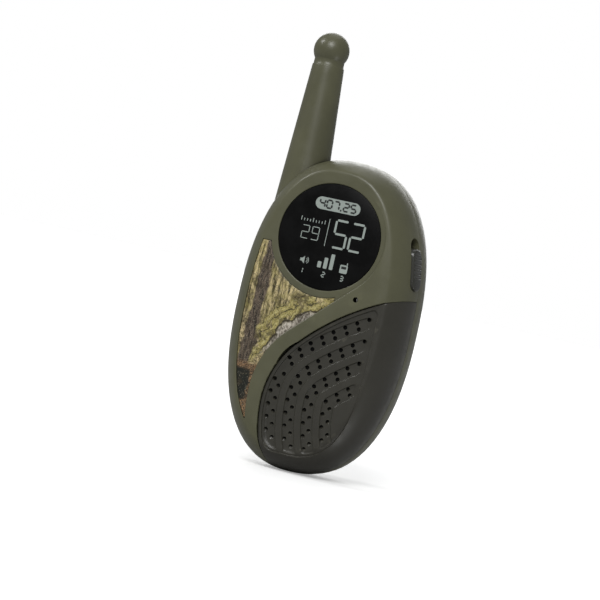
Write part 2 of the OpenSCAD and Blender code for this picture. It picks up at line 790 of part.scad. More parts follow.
module door_screw() color(steel) seated() screw([0, door_screw_z], rear_d, 5, 2.5, 0.85, 1.2);

// Belt clip: a channel round the rail, a bend at the top and a long tongue with a hooked tip
module belt_clip() color(olive) seated() {
    back = rear_d + 2.6;
    plate_t = 1.6;
    w = 8.5;
    top = rail_z1 + 2;
    tongue = back + 0.2 + plate_t + clip_gap;
    z0 = rail_z0 + 0.2;
    for (s = [-1, 1]) {
        box(s > 0 ? 4.15 : -w, s > 0 ? w : -4.15, rear_d + 0.2, rear_d + 1.25, z0, top);
        box(s > 0 ? 6.15 : -w, s > 0 ? w : -6.15, rear_d + 1.2, back + 0.3, z0, top);
    }
    box(-w, w, back + 0.2, back + 0.2 + plate_t, z0, top);
    // Stop that the rail's upper end meets
    box(-w, w, rear_d + 0.2, back + 0.3, rail_z1 + 0.1, top);
    // Bend at the top
    difference() {
        bar_x(-w, w, back + 0.2 + plate_t + clip_gap / 2, top, clip_gap / 2 + plate_t);
        bar_x(-w - 1, w + 1, back + 0.2 + plate_t + clip_gap / 2, top, clip_gap / 2);
        box(-w - 1, w + 1, back - 1, tongue + 3, top - 5, top);
    }
    corner = 4;
    box(-w, w, tongue, tongue + plate_t, clip_tip_z + corner, top);
    box(corner - w, w - corner, tongue, tongue + plate_t, clip_tip_z, top);
    for (s = [-1, 1]) bar_y([s * (w - corner), clip_tip_z + corner], corner, tongue, tongue + plate_t);
    // Hook at the tip
    bar_x(corner - w, w - corner, tongue + 0.1, clip_tip_z + 1.8, 1.3);
}

front_shell();
rear_shell();
speaker_cover();
camo_inlay();
display_disc();
antenna();
power_key();
slide_lever();
slide_switch();
talk_button();
talk_plunger();
talk_switch();
talk_spring();
pcb();
pcb_screws();
chip();
capacitors();
coil_cans();
crystal();
microphone();
speaker_basket();
speaker_magnet();
speaker_cone();
speaker_ring();
ring_screws();
speaker_wires();
mic_wires();
battery_wires();
antenna_wire();
contact_plates();
contact_springs();
batteries();
battery_door();
door_screw();
belt_clip();
case_screws();
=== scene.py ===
"""Toy walkie talkie: fine outer surfaces, printed display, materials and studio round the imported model."""
import json
import math

import bmesh
import bpy
import numpy as np
from mathutils import Matrix, Vector
from mathutils.geometry import delaunay_2d_cdt


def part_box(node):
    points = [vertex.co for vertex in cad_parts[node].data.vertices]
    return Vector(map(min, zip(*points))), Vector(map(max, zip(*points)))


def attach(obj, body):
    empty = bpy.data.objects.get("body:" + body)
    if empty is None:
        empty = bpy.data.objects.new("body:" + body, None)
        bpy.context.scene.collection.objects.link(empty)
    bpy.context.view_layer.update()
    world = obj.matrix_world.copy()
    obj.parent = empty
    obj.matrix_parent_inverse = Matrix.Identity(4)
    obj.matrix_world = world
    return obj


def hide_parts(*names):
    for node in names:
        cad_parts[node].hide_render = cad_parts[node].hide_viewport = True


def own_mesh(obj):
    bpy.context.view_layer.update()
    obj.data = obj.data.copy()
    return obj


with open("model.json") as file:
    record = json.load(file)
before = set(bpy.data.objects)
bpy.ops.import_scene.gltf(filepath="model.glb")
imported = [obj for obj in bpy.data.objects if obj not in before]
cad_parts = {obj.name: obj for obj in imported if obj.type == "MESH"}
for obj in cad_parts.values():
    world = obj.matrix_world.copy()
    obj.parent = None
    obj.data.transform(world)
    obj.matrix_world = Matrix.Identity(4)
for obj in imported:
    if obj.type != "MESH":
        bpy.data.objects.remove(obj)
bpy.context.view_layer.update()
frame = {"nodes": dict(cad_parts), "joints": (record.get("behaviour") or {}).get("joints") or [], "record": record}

# ---- Sizes, in millimetres
MM = 0.001


def mm_box(node):
    """Lowest and highest corner of a CAD node in millimetres."""
    return [np.array(corner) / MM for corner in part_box(node)]


REAR = mm_box("rear_shell")
FRONT = mm_box("front_shell")
DISC = mm_box("display_disc")
ROD = mm_box("antenna")
KEY = mm_box("power_key")
TALK = mm_box("talk_button")
SPRING = mm_box("talk_spring")

# The seam between the shells, and how far the face lies before it and the back behind it
SEAM_Y = FRONT[1][1]
HALF_W = REAR[1][0]
HALF_H = REAR[1][2]
FACE_D = SEAM_Y - DISC[0][1]
BACK_D = -SEAM_Y
BAND_RISE = DISC[0][1] - FRONT[0][1]
DISPLAY = np.array([(DISC[0][0] + DISC[1][0]) / 2, (DISC[0][2] + DISC[1][2]) / 2])
DISPLAY_R = (DISC[1][0] - DISC[0][0]) / 2
# The antenna's place, lean in degrees and radii
ROD_X = -17.8
ROD_LEAN = 0.77
ROD_FOOT_R = 8.64
ROD_TIP_R = 5.2
BALL_R = 5.85
# Thickness of the shell and of the cover, and the gap round every part let into the shell
WALL = 2.4
COVER_T = 1.25
GAP = 0.12

# The casing's egg: exponents above and below the middle, and how far the face lies inside the seam
N_TOP = 2.4
N_BOT = 2.35
FACE_IN = np.array([5.9, 5.25])
FACE_UP = 0.75
BACK_IN = np.array([5.4, 5.0])
# How far the wall has bent where it meets the face, and the rounding of the crease there
BEND = math.asin(0.856)
CREASE_R = 0.75
CREASE_REACH = 2.4
# How far inside the crease the printed panel ends, and the depths of its and the display's recesses
INLAY_IN = 0.5
INLAY_DEPTH = 0.8
DISH_DEPTH = 0.6

# The grille: channels follow one curve at even steps inside it, sunk in a shallow plate
CHANNEL_COUNT = 4
CHANNEL_IN = 2.3
CHANNEL_PITCH = 6.2
CHANNEL_W = 4.1
CHANNEL_DEPTH = 0.42
PLATE_DEPTH = 0.4
# Holes: distance of the first row inside the grille curve, and each channel's first place along it
ROW_IN = 3.1
ROW_GAP = 1.95
HOLE_PITCH = 4.15
HOLE_STARTS = (0.6, -1.0, 1.2, 1.3)
HOLE_R = 0.7

# ---- Casing surface


def far(q, c):
    """Distance of points from c."""
    return np.hypot(*(q - c).T)


def full_turn(steps):
    """Even angles round a full turn."""
    return np.linspace(0, 2 * math.pi, steps, endpoint=False)


def section(p):
    """Half width, half height and centre height of the front half where its wall has bent by p."""
    s = (1 - np.cos(p)) / (1 - math.cos(BEND))
    return HALF_W - FACE_IN[0] * s, HALF_H - FACE_IN[1] * s, FACE_UP * s


def egg_value(x, z, a, b, c):
    """1 on an egg of half width a and half height b about height c, less inside."""
    n = np.where(z >= c, N_TOP, N_BOT)
    return (np.abs(x) / a) ** n + (np.abs(z - c) / b) ** n


def egg_line(a, b, c, steps=320):
    """Closed outline of an egg with evenly spread points."""
    t = full_turn(4 * steps)
    e = 2 / np.where(np.sin(t) >= 0, N_TOP, N_BOT)
    x = a * np.sign(np.cos(t)) * np.abs(np.cos(t)) ** e
    z = c + b * np.sign(np.sin(t)) * np.abs(np.sin(t)) ** e
    return even_line(np.stack([x, z], 1), steps, closed=True)


def even_line(line, steps, closed=False):
    """The same line with points at even distances."""
    if closed:
        line = np.vstack([line, line[:1]])
    run = np.concatenate([[0], np.cumsum(np.hypot(*np.diff(line, axis=0).T))])
    at = np.linspace(0, run[-1], steps + 1)
    even = np.stack([np.interp(at, run, line[:, k]) for k in (0, 1)], 1)
    return even[:-1] if closed else even


def bisect(inside, low, high, halvings=36):
    """The largest values between low and high at which inside(values) still holds."""
    for _ in range(halvings):
        mid = (low + high) / 2
        hit = inside(mid)
        low, high = np.where(hit, mid, low), np.where(hit, high, mid)
    return low


def raw_depth(x, z, inset=0.0):
    """Distance of the front surface from the seam plane, with a sharp crease."""
    def reaches(bend):
        a, b, c = section(bend)
        return egg_value(x, z, a - inset, b - inset, c) <= 1

    bend = bisect(reaches, np.zeros_like(x), np.full_like(x, BEND))
    return (FACE_D - inset) * np.sin(bend) / math.sin(BEND)


FACE_LINE = egg_line(*section(BEND), steps=400)


def face_distance(q):
    """Distance of points inside the face's crease; negative on the wall."""
    return signed_distance(q, np.vstack([FACE_LINE, FACE_LINE[:1]]))


def front_depth(q, inset=0.0):
    """Distance of the front surface from the seam plane, with the crease rounded."""
    x, z = q[:, 0], q[:, 1]
    depth = raw_depth(x, z, inset)
    near = np.abs(face_distance(q)) < CREASE_REACH
    ring = [(CREASE_R * r * math.cos(t), CREASE_R * r * math.sin(t))
            for r in (0.5, 1.0) for t in full_turn(12)]
    if near.any():
        soft = np.mean([raw_depth(x[near] + dx, z[near] + dz, inset) for dx, dz in ring], axis=0)
        share = np.clip((CREASE_REACH - np.abs(face_distance(q[near]))) / (CREASE_REACH / 2), 0, 1)
        depth[near] += share * (soft - depth[near])
    return depth


def side_x(y, z, rear=False):
    """Distance of the side wall from the middle plane at depth y from the seam and height z."""
    if rear:
        s = 1 - np.clip(1 - (np.abs(y) / BACK_D) ** 3, 0, 1) ** (1 / 3)
        a, b, c = HALF_W - BACK_IN[0] * s, HALF_H - BACK_IN[1] * s, 0 * y
    else:
        a, b, c = section(np.arcsin(np.clip(np.abs(y) / FACE_D, 0, 1) * math.sin(BEND)))
    n = np.where(z >= c, N_TOP, N_BOT)
    return a * np.clip(1 - (np.abs(z - c) / b) ** n, 0, 1) ** (1 / n)


def lay(q, y):
    """Points of the X-Z plane laid at Y."""
    return np.stack([q[:, 0], np.broadcast_to(y, len(q)), q[:, 1]], 1)


# ---- Lines of the face

# Steps of every arc, before its points are spread evenly
ARC_STEPS = 40


def arc(c, r, t0, t1):
    """Arc about c with tangent angles from t0 to t1 degrees, turning clockwise as the angle falls."""
    t = np.radians(np.linspace(t0, t1, ARC_STEPS + 1))
    return np.stack([c[0] - r * np.sin(t), c[1] + r * np.cos(t)], 1)


def spaced(line, pitch):
    """The same line with points about pitch apart."""
    return even_line(line, int(np.hypot(*np.diff(line, axis=0).T).sum() / pitch))


def join(*lines):
    """Lines end to end, without the doubled points."""
    out = [lines[0]]
    for line in lines[1:]:
        out.append(line[1:] if np.hypot(*(line[0] - out[-1][-1])) < 1e-6 else line)
    return np.vstack(out)


class Curve:
    """An arm, a bend and a leg: three arcs that share their tangents, and every curve parallel to them."""

    def __init__(self, centre, bend_r, arm_r, leg_r, tilt):
        t = math.radians(tilt)
        self.tilt, self.centre = tilt, np.array(centre)
        self.bend_r, self.arm_r, self.leg_r = bend_r, arm_r, leg_r
        self.foot = np.array([math.cos(t), math.sin(t)])
        self.arm_c = self.centre + (arm_r - bend_r) * np.array([math.sin(t), -math.cos(t)])
        self.leg_c = self.centre + np.array([leg_r - bend_r, 0])

    def line(self, d, leg_end=40.0, arm_end=6.0, pitch=0.7):
        """The curve at distance d inside, from its lower end to its upper end."""
        return spaced(join(
            arc(self.leg_c, self.leg_r - d, 90 + leg_end, 90),
            arc(self.centre, self.bend_r - d, 90, self.tilt),
            arc(self.arm_c, self.arm_r - d, self.tilt, arm_end),
        ), pitch)

    def inside(self, q):
        """How far points lie inside the curve."""
        leg, bend, arm = (
            r - far(q, c)
            for r, c in ((self.leg_r, self.leg_c), (self.bend_r, self.centre), (self.arm_r, self.arm_c))
        )
        return np.where(q[:, 1] < self.centre[1], leg, np.where((q - self.centre) @ self.foot > 0, arm, bend))

    def spot(self, d, s):
        """Point at distance d inside, a run of s past the end of the leg."""
        bend_run = (self.bend_r - d) * math.radians(90 - self.tilt)
        if s < 0:
            c, r, t = self.leg_c, self.leg_r - d, math.pi / 2 - s / (self.leg_r - d)
        elif s < bend_run:
            c, r, t = self.centre, self.bend_r - d, math.pi / 2 - s / (self.bend_r - d)
        else:
            c, r, t = self.arm_c, self.arm_r - d, math.radians(self.tilt) - (s - bend_run) / (self.arm_r - d)
        return c + r * np.array([-math.sin(t), math.cos(t)])


# The cover's edge, and the curve that the channels and the band's left edge follow
EDGE = Curve((18.83, -29.68), 29.2, 79.7, 41.3, 47.25)
FLOW = Curve((13.2, -27.0), 24.4, 95.0, 58.4, 42.0)

# Width of the raised band between the two curves, and the radius at which it runs round the display
BAND_W = 4.0
RING_R = DISPLAY_R + 1.7


def crease_line(out=0.0):
    """Left edge of the raised band: leg and bend, a straight stretch, then round the display."""
    leg_start, end, pitch = 118, 70, 0.6
    r1, r2 = FLOW.bend_r + BAND_W - out, RING_R + out
    gap = DISPLAY - FLOW.centre
    normal = math.atan2(gap[1], gap[0]) + math.acos((r1 + r2) / np.hypot(*gap))
    tilt = math.degrees(normal) - 90
    start = FLOW.centre + r1 * np.array([math.cos(normal), math.sin(normal)])
    stop = DISPLAY - r2 * np.array([math.cos(normal), math.sin(normal)])
    turn = np.radians(np.linspace(math.degrees(normal) - 180, end, 60))
    return spaced(join(
        arc(FLOW.leg_c, FLOW.leg_r + BAND_W - out, leg_start, 90),
        arc(FLOW.centre, r1, 90, tilt),
        np.linspace(start, stop, 20),
        DISPLAY + r2 * np.stack([np.cos(turn), np.sin(turn)], 1),
    ), pitch)


def circles(c, r, offsets, steps):
    """Circles about c, at offsets from the radius r."""
    t = full_turn(steps)
    return [np.stack([c[0] + (r + d) * np.cos(t), c[1] + (r + d) * np.sin(t)], 1) for d in offsets]


def signed_distance(q, line):
    """Distance of points from a line, positive on its left."""
    best = np.full(len(q), 1e9)
    side = np.ones(len(q))
    for a, b in zip(line[:-1], line[1:]):
        run = b - a
        rel = q - a
        t = np.clip(rel @ run / max(run @ run, 1e-12), 0, 1)
        gap = rel - t[:, None] * run
        far = (gap ** 2).sum(1)
        closer = far < best
        best[closer] = far[closer]
        side[closer] = np.sign(run[0] * rel[closer, 1] - run[1] * rel[closer, 0])
    return side * np.sqrt(best)


def smooth(x, low, high):
    """0 below low, 1 above high, with a soft change between."""
    t = np.clip((x - low) / (high - low), 0, 1)
    return t * t * (3 - 2 * t)


def soft_brim(d, r):
    """How far a rounded brim of radius r drops at distance d outside a recess, or inside an edge."""
    d = np.where(d < 0, r, np.clip(d, 0, r))
    return r - np.sqrt(np.clip(r * r - (r - d) ** 2, 0, None))


# ---- Meshes from lines


def hex_dots(x0, x1, z0, z1, pitch):
    """Staggered points that fill the space between lines."""
    rows, row = np.arange(z0, z1, pitch * 0.866), np.arange(x0, x1, pitch)
    return np.array([(x + (k % 2) * pitch / 2, z) for k, z in enumerate(rows) for x in row])


def flat_net(closed, open_, dots, keep):
    """Triangles of a plane that follow every line, where keep(centres) is true."""
    points, edges = [], []
    for line in closed:
        base = len(points)
        points += [Vector(p) for p in line]
        edges += [(base + i, base + (i + 1) % len(line)) for i in range(len(line))]
    for line in open_:
        base = len(points)
        points += [Vector(p) for p in line]
        edges += [(base + i, base + i + 1) for i in range(len(line) - 1)]
    points += [Vector(p) for p in dots]
    v, _, f, *_ = delaunay_2d_cdt(points, edges, [], 0, 1e-4)
    v, f = np.array([tuple(p) for p in v]), np.array(f)
    f = f[keep(v[f].mean(1))]
    used, f = np.unique(f, return_inverse=True)
    return v[used], f.reshape(-1, 3)


def slab(name, net, outer, inner, flip=False):
    """Closed solid between two surfaces that share one net; outer and inner give their points."""
    v, f = net
    n = len(v)
    sides = dict.fromkeys((t[i], t[(i + 1) % 3]) for t in f for i in range(3))
    faces = [tuple(t) for t in f] + [tuple(t[::-1] + n) for t in f]
    faces += [(b, a, a + n, b + n) for a, b in sides if (b, a) not in sides]
    if flip:
        faces = [t[::-1] for t in faces]
    mesh = bpy.data.meshes.new(name)
    mesh.from_pydata((np.vstack([outer(v), inner(v)]) * MM).tolist(), [], faces)
    return make_object(name, mesh)


# Edges over this many degrees stay sharp
SHARP = 38


def shade_soft(mesh, sharp):
    mesh.shade_smooth()
    mesh.set_sharp_from_angle(angle=math.radians(sharp))


def make_object(name, mesh, sharp=SHARP):
    """Object of a mesh, shaded smooth except across edges over sharp degrees."""
    mesh.validate()
    shade_soft(mesh, sharp)
    obj = bpy.data.objects.new(name, mesh)
    bpy.context.scene.collection.objects.link(obj)
    return obj


def from_bmesh(name, bm, sharp=SHARP):
    mesh = bpy.data.meshes.new(name)
    bm.to_mesh(mesh)
    bm.free()
    return make_object(name, mesh, sharp)


def carve(obj, *cutters):
    """Cuts solids out of obj and removes them."""
    for cutter in cutters:
        mod = obj.modifiers.new("cut", "BOOLEAN")
        mod.operation, mod.solver, mod.object = "DIFFERENCE", "EXACT", cutter
    dg = bpy.context.evaluated_depsgraph_get()
    mesh = bpy.data.meshes.new_from_object(obj.evaluated_get(dg))
    obj.modifiers.clear()
    obj.data = mesh
    shade_soft(mesh, SHARP)
    for cutter in cutters:
        bpy.data.objects.remove(cutter)


def lathe(name, profile, steps, centre, axis="Z"):
    """Solid of revolution from (radius, height) points whose ends lie on the axis."""
    bm = bmesh.new()
    turns = full_turn(steps)
    rings = []
    for r, h in profile:
        stops = turns if r > 1e-6 else (0,)
        rings.append([bm.verts.new((r * MM * math.cos(t), r * MM * math.sin(t), h * MM)) for t in stops])
    for a, b in zip(rings, rings[1:]):
        for i in range(steps):
            j = (i + 1) % steps
            if len(a) == 1:
                bm.faces.new((a[0], b[j], b[i]))
            elif len(b) == 1:
                bm.faces.new((a[i], a[j], b[0]))
            else:
                bm.faces.new((a[i], a[j], b[j], b[i]))
    bmesh.ops.recalc_face_normals(bm, faces=bm.faces)
    turn = Matrix.Rotation(-math.pi / 2, 4, "X") if axis == "Y" else Matrix.Identity(4)
    bmesh.ops.transform(bm, matrix=Matrix.Translation(Vector(centre) * MM) @ turn, verts=bm.verts)
    return from_bmesh(name, bm)


def slot_ring(w, l, z, y, turns):
    """Outline of an upright slot about y and z; turns are the angles of the points on each round end."""
    return [(y + s * w / 2 * math.cos(a), z + s * (l - w) / 2 + s * w / 2 * math.sin(a))
            for s in (1, -1) for a in turns]


def slot_prism(name, x0, x1, y, z, w, l):
    """A bar along X with rounded ends."""
    ring = slot_ring(w, l, z, y, np.linspace(0, math.pi, 17))
    bm = bmesh.new()
    ends = [[bm.verts.new((x * MM, p[0] * MM, p[1] * MM)) for p in ring] for x in (x0, x1)]
    bm.faces.new(ends[0])
    bm.faces.new(ends[1][::-1])
    n = len(ring)
    for i in range(n):
        bm.faces.new((ends[0][i], ends[1][i], ends[1][(i + 1) % n], ends[0][(i + 1) % n]))
    bmesh.ops.recalc_face_normals(bm, faces=bm.faces)
    return from_bmesh(name, bm)


# ---- Front shell, cover, panel and disc

# Rings that follow the casing's bend, close together beside the crease
WALL_BENDS = BEND * np.array([0, 0.12, 0.24, 0.36, 0.47, 0.57, 0.66, 0.74, 0.81, 0.87, 0.92, 0.955, 0.98])
CREASE_OFFSETS = (0.15, 0.35, 0.6, 0.95, 1.5)


def casing_rings():
    """Outlines from the seam over the crease onto the face."""
    rings = [egg_line(*section(p)) for p in WALL_BENDS]
    a, b, c = section(BEND)
    return rings + [FACE_LINE] + [egg_line(a - d, b - d, c) for d in CREASE_OFFSETS]


def inside_casing(q):
    return egg_value(*q.T, HALF_W, HALF_H, 0) < 1


def far_from(q, *distances, clear=0.5):
    """Dots that keep clear of lines, so that no thin triangles arise."""
    return q[np.all([np.abs(d) > clear for d in distances], axis=0)]


# Blunt ends of the printed panel: its top, its right tip and its lower tip
PANEL_TOP, PANEL_RIGHT, PANEL_FOOT = 20.4, 6.4, -36.9


def inlay_edge(q):
    """Distance of points inside the printed panel's outline."""
    ring = far(q, DISPLAY) - (DISPLAY_R + 2.4)
    face = face_distance(q) - INLAY_IN
    ends = [PANEL_TOP - q[:, 1], PANEL_RIGHT - q[:, 0], q[:, 1] - PANEL_FOOT]
    return np.minimum.reduce([-crease_side(q), ring, face] + ends)


CREASE = crease_line()


def crease_side(q):
    """Distance of points to the band's side of its left edge."""
    return -signed_distance(q, CREASE)


def band_height(q):
    """The raised band: full height by the cover, fading out round the display and at the crease."""
    rel = q - DISPLAY
    angle = np.degrees(np.arctan2(rel[:, 1], rel[:, 0]))
    angle = np.where(angle < -120, angle + 360, angle)
    fade = 1 - smooth(angle, -35, 62)
    taper = smooth(face_distance(q), -0.4, 3.2)
    side, lift = crease_side(q), BAND_RISE * 0.92
    return np.where(side >= 0, lift - soft_brim(side, 0.45), 0) * fade * taper


def shell_outer(q):
    """Points of the front shell's outer surface."""
    cover = EDGE.inside(q)
    brim = soft_brim(-cover - GAP, 0.3) * smooth(face_distance(q), -2, 1)
    depth = front_depth(q) + band_height(q) - np.where(cover < -GAP, brim, 0)
    depth = np.where(cover > 0.04 - GAP, front_depth(q, COVER_T + GAP), depth)
    inlay = inlay_edge(q)
    depth = depth - np.where(inlay > -1e-3, INLAY_DEPTH, 0) - soft_brim(-inlay, 0.12)
    dish = far(q, DISPLAY) - (DISPLAY_R + GAP)
    depth = depth - np.where(dish < 1e-3, DISH_DEPTH, 0) - soft_brim(dish, 0.3)
    return lay(q, SEAM_Y - depth)


def casing_inner(inset):
    """Inner surface: the same net drawn in by the wall's thickness, without relief."""
    shrink = np.array([(HALF_W - inset) / HALF_W, (HALF_H - inset) / HALF_H])
    return lambda q: lay(q * shrink, SEAM_Y - raw_depth(*(q * shrink).T, inset))


# The microphone's hole and the speaker's hole in the shell
MIC = np.array([13.4, 7.7])
MIC_R = 0.85
SPEAKER = np.array([4.5, -20.0])
SPEAKER_R = 12.7
# Lower end, length and width of the slot that the key slides in, and the place of its middle from the seam
KEY_SLOT = (14.3, 16.6, 5.6)
KEY_Y = -4.0
# Dots come no nearer than this to the crease, where the rings are close together
FACE_MARGIN = 1.8


def build_front_shell():
    lines = [crease_line(out=d) for d in (0.45, 0.3, 0.18, 0.08, 0.01, -0.03)]
    lines += [EDGE.line(-GAP - d) for d in (0.3, 0.2, 0.1, 0.04, 0.001, -0.04)]
    lines += [EDGE.line(d) for d in (0.6, -0.9)]
    seat = COVER_T + GAP
    closed = casing_rings() + [egg_line(HALF_W - d, HALF_H - d, 0) for d in (seat, 2)]
    closed += circles(DISPLAY, DISPLAY_R + GAP, (0.3, 0.2, 0.11, 0.04, 0.002, -0.03), 160)
    closed += circles(MIC, MIC_R, (0, 0.25), 28) + circles(SPEAKER, SPEAKER_R, (0,), 90)
    closed += inlay_outlines((-0.002, -0.05, -0.12, 0.03))
    dots = hex_dots(-28, 28, -50, 50, 1.15)
    dots = far_from(dots, crease_side(dots), EDGE.inside(dots), inlay_edge(dots),
                    far(dots, DISPLAY) - DISPLAY_R, far(dots, MIC) - 1)
    dots = dots[face_distance(dots) > FACE_MARGIN]

    def keep(q):
        hole = (far(q, SPEAKER) < SPEAKER_R) | (far(q, MIC) < MIC_R)
        outside = egg_value(*q.T, HALF_W - seat, HALF_H - seat, 0) > 1
        fin = outside & (EDGE.inside(q) > 0.02 - GAP)
        return inside_casing(q) & ~hole & ~fin

    inner = lambda q: casing_inner(WALL)(undercut(q, [MIC], MIC_R, 0.7))
    shell = slab("front_shell_skin", flat_net(closed, lines, dots, keep), shell_outer, inner)
    foot, length, width = KEY_SLOT
    slot = slot_prism("slot", 19, 40, SEAM_Y + KEY_Y, foot + length / 2, width, length)
    carve(shell, slot, antenna_body("antenna_cut", 0.1))
    return shell


def inlay_outlines(offsets):
    middle = np.array([-18.0, -5.0])
    return [level_line(inlay_edge, middle, offset, 320) for offset in offsets]


def build_inlay():
    outline = inlay_outlines((GAP, GAP + 0.06, GAP + 0.16, GAP + 0.4))
    dots = hex_dots(-28, 14, -44, 22, 1.6)
    net = flat_net(outline, [], dots[inlay_edge(dots) > 1.0], lambda q: inlay_edge(q) > GAP - 0.02)

    def outer(q):
        sunk = 0.16 + 0.12 * (1 - smooth(inlay_edge(q), GAP, GAP + 0.3))
        return lay(q, SEAM_Y - FACE_D + sunk)

    return slab("camo_panel", net, outer, lambda q: lay(q, SEAM_Y - FACE_D + INLAY_DEPTH - 0.05))


# The sunk plate of the grille: a rounded quarter about this point, with these reaches right and down
PLATE_C = np.array([2.0, -12.0])
PLATE_REACH = np.array([19.4, 33.1])
PLATE_N = 2.44
PLATE_MIDDLE = np.array([6.0, -20.0])


def plate_value(q):
    """1 on the plate's right and lower edge, less inside."""
    rel = np.clip((q - PLATE_C) * (1, -1), 0, None) / PLATE_REACH
    return (rel ** PLATE_N).sum(1)


def plate_distance(q):
    """Distance of points inside the plate's outline, with its corners rounded."""
    mean_reach, soft = 26, 3.0
    right = (1 - np.maximum(plate_value(q), 1e-9) ** (1 / PLATE_N)) * mean_reach
    left = EDGE.inside(q) - 1.2
    blend = np.clip(soft - np.abs(right - left), 0, soft)
    return np.minimum(right, left) - blend ** 2 / soft / 4


def level_line(field, middle, level, steps):
    """Closed outline where field falls to level, found along rays from the middle."""
    reach = 60.0
    turn = full_turn(3 * steps)
    ways = np.stack([np.cos(turn), np.sin(turn)], 1)
    inside = lambda r: field(middle + ways * r[:, None]) > level
    radii = bisect(inside, np.zeros(len(turn)), np.full(len(turn), reach), 30)
    return even_line(middle + ways * radii[:, None], steps, closed=True)


# Where the channels' rounded right ends begin and end
END_X0, END_X1 = 18.0, 20.2


def channel_mask(q):
    """1 where channels run, 0 at their rounded right ends and at the plate's brim."""
    return smooth(plate_distance(q), 0.5, 1.0) * smooth(END_X1 - q[:, 0], 0, 0.8)


def channels(q):
    """Share of the channels' full depth."""
    d = FLOW.inside(q) - CHANNEL_IN
    u = d - np.clip(np.floor(d / CHANNEL_PITCH), 0, CHANNEL_COUNT - 1) * CHANNEL_PITCH
    end = np.clip(q[:, 0] - END_X0, 0, END_X1 - END_X0) / (END_X1 - END_X0)
    squeeze = CHANNEL_W / 2 * (1 - np.sqrt(np.clip(1 - end ** 2, 0, 1)))
    walls = [smooth(side, squeeze - 0.02, squeeze + 0.3) for side in (u, CHANNEL_W - u)]
    return walls[0] * walls[1] * channel_mask(q)


def hole_centres():
    """Two staggered rows of holes along each channel."""
    spots = np.array([
        FLOW.spot(ROW_IN + k * CHANNEL_PITCH + row * ROW_GAP, start + (i + row / 2) * HOLE_PITCH)
        for k, start in enumerate(HOLE_STARTS) for row in (0, 1) for i in range(-5, 12)
    ])
    return spots[(plate_value(spots) < 0.83) & (spots[:, 0] < 19.5) & (EDGE.inside(spots) > 1.7)]


def nearest_hole(q, centres):
    return np.min([far(q, p) for p in centres], axis=0)


def undercut(q, centres, r, by=0.3, reach=0.35):
    """Points round holes of radius r spread apart, so that holes widen towards the inside."""
    q = q.copy()
    for centre in centres:
        away = q - centre
        d = far(q, centre)
        near = (d > 0) & (d < r + reach)
        q[near] += away[near] / d[near, None] * (by * (1 - smooth(d[near], r, r + reach)))[:, None]
    return q


# The cover's side ends this far before the seam
COVER_STEP = 0.25


def cover_outer(q):
    """Points of the cover's outer surface, with the plate and the channels sunk in."""
    face = face_distance(q)
    proud, brim = 0.12 * smooth(face, -0.5, 1.5), soft_brim(EDGE.inside(q) - 0.03, 0.25) * smooth(face, -6, 0)
    sunk = PLATE_DEPTH * smooth(plate_distance(q), -0.12, 0.12) + CHANNEL_DEPTH * channels(q)
    return lay(q, np.minimum(SEAM_Y - (front_depth(q) + proud - brim - sunk), SEAM_Y - COVER_STEP))


def build_cover():
    centres = hole_centres()
    lines = [EDGE.line(d) for d in (0.03, 0.08, 0.16, 0.28, 0.6, 1.2)]
    for k in range(CHANNEL_COUNT):
        base = CHANNEL_IN + k * CHANNEL_PITCH
        lines += [FLOW.line(base + u, leg_end=20, arm_end=20, pitch=0.5)
                  for d in (-0.1, 0, 0.1, 0.2, 0.32) for u in (d, CHANNEL_W - d)]
    closed = casing_rings()
    closed += [level_line(plate_distance, PLATE_MIDDLE, d, 260) for d in (-0.12, -0.05, 0.03, 0.12, 0.3)]
    for p in centres:
        closed += circles(p, HOLE_R, (0, 0.1), 18)
    dots = hex_dots(-14, 28, -50, 14, 0.75)
    clear = (nearest_hole(dots, centres) > HOLE_R + 0.35) & (EDGE.inside(dots) > 1.6)
    dots = dots[clear & (face_distance(dots) > FACE_MARGIN)]

    def keep(q):
        return inside_casing(q) & (EDGE.inside(q) > 0.02) & (nearest_hole(q, centres) > HOLE_R)

    def inner(q):
        p = casing_inner(COVER_T)(undercut(q, centres, HOLE_R))
        p[:, 1] = np.minimum(p[:, 1], SEAM_Y - COVER_STEP)
        return p

    return slab("speaker_cover_skin", flat_net(closed, lines, dots, keep), cover_outer, inner)


def build_cloth():
    """Thin black cloth between the cover and the shell, under the whole plate: painted shade seen through the
    grille's holes.
    """
    inside = lambda q: np.minimum(plate_distance(q), face_distance(q) - 0.6)
    sheet = lambda inset: lambda q: lay(q, SEAM_Y - front_depth(q) + inset)
    brim, gap, thick = 0.3, 0.03, 0.05
    dots = hex_dots(-14, 24, -46, 8, 1.6)
    outline = level_line(inside, PLATE_MIDDLE, brim, 200)
    net = flat_net([outline], [], dots[inside(dots) > 1.2], lambda q: inside(q) > brim - 0.02)
    return slab("grille_cloth", net, sheet(COVER_T + gap), sheet(COVER_T + gap + thick))


def build_disc():
    """Display disc with a rounded brim, a little below the face."""
    r, thick, sunk = DISPLAY_R, 0.55, 0.12
    brim = [(r - 0.1, thick), (r, 0.45), (r, 0.2), (r - 0.06, 0.07), (r - 0.2, 0)]
    profile = [(0, thick)] + brim + [(r * 0.5, 0), (0, 0)]
    return lathe("display_face", profile, 160, (DISPLAY[0], DISC[0][1] + sunk, DISPLAY[1]), "Y")


# ---- Print on the display


def area(bm, outline, y):
    """Face with this outline about the display's middle, at depth y."""
    cx, cz = DISPLAY
    bm.faces.new([bm.verts.new(((cx + p[0]) * MM, y * MM, (cz + p[1]) * MM)) for p in outline])


def stroke(bm, points, w, y):
    """Flat line of width w with square ends."""
    pts = [Vector(p) for p in points]
    left, right = [], []
    for i, p in enumerate(pts):
        run = (pts[min(i + 1, len(pts) - 1)] - pts[max(i - 1, 0)]).normalized()
        side = Vector((-run[1], run[0])) * w / 2
        left.append(p + side)
        right.append(p - side)
    area(bm, left + right[::-1], y)


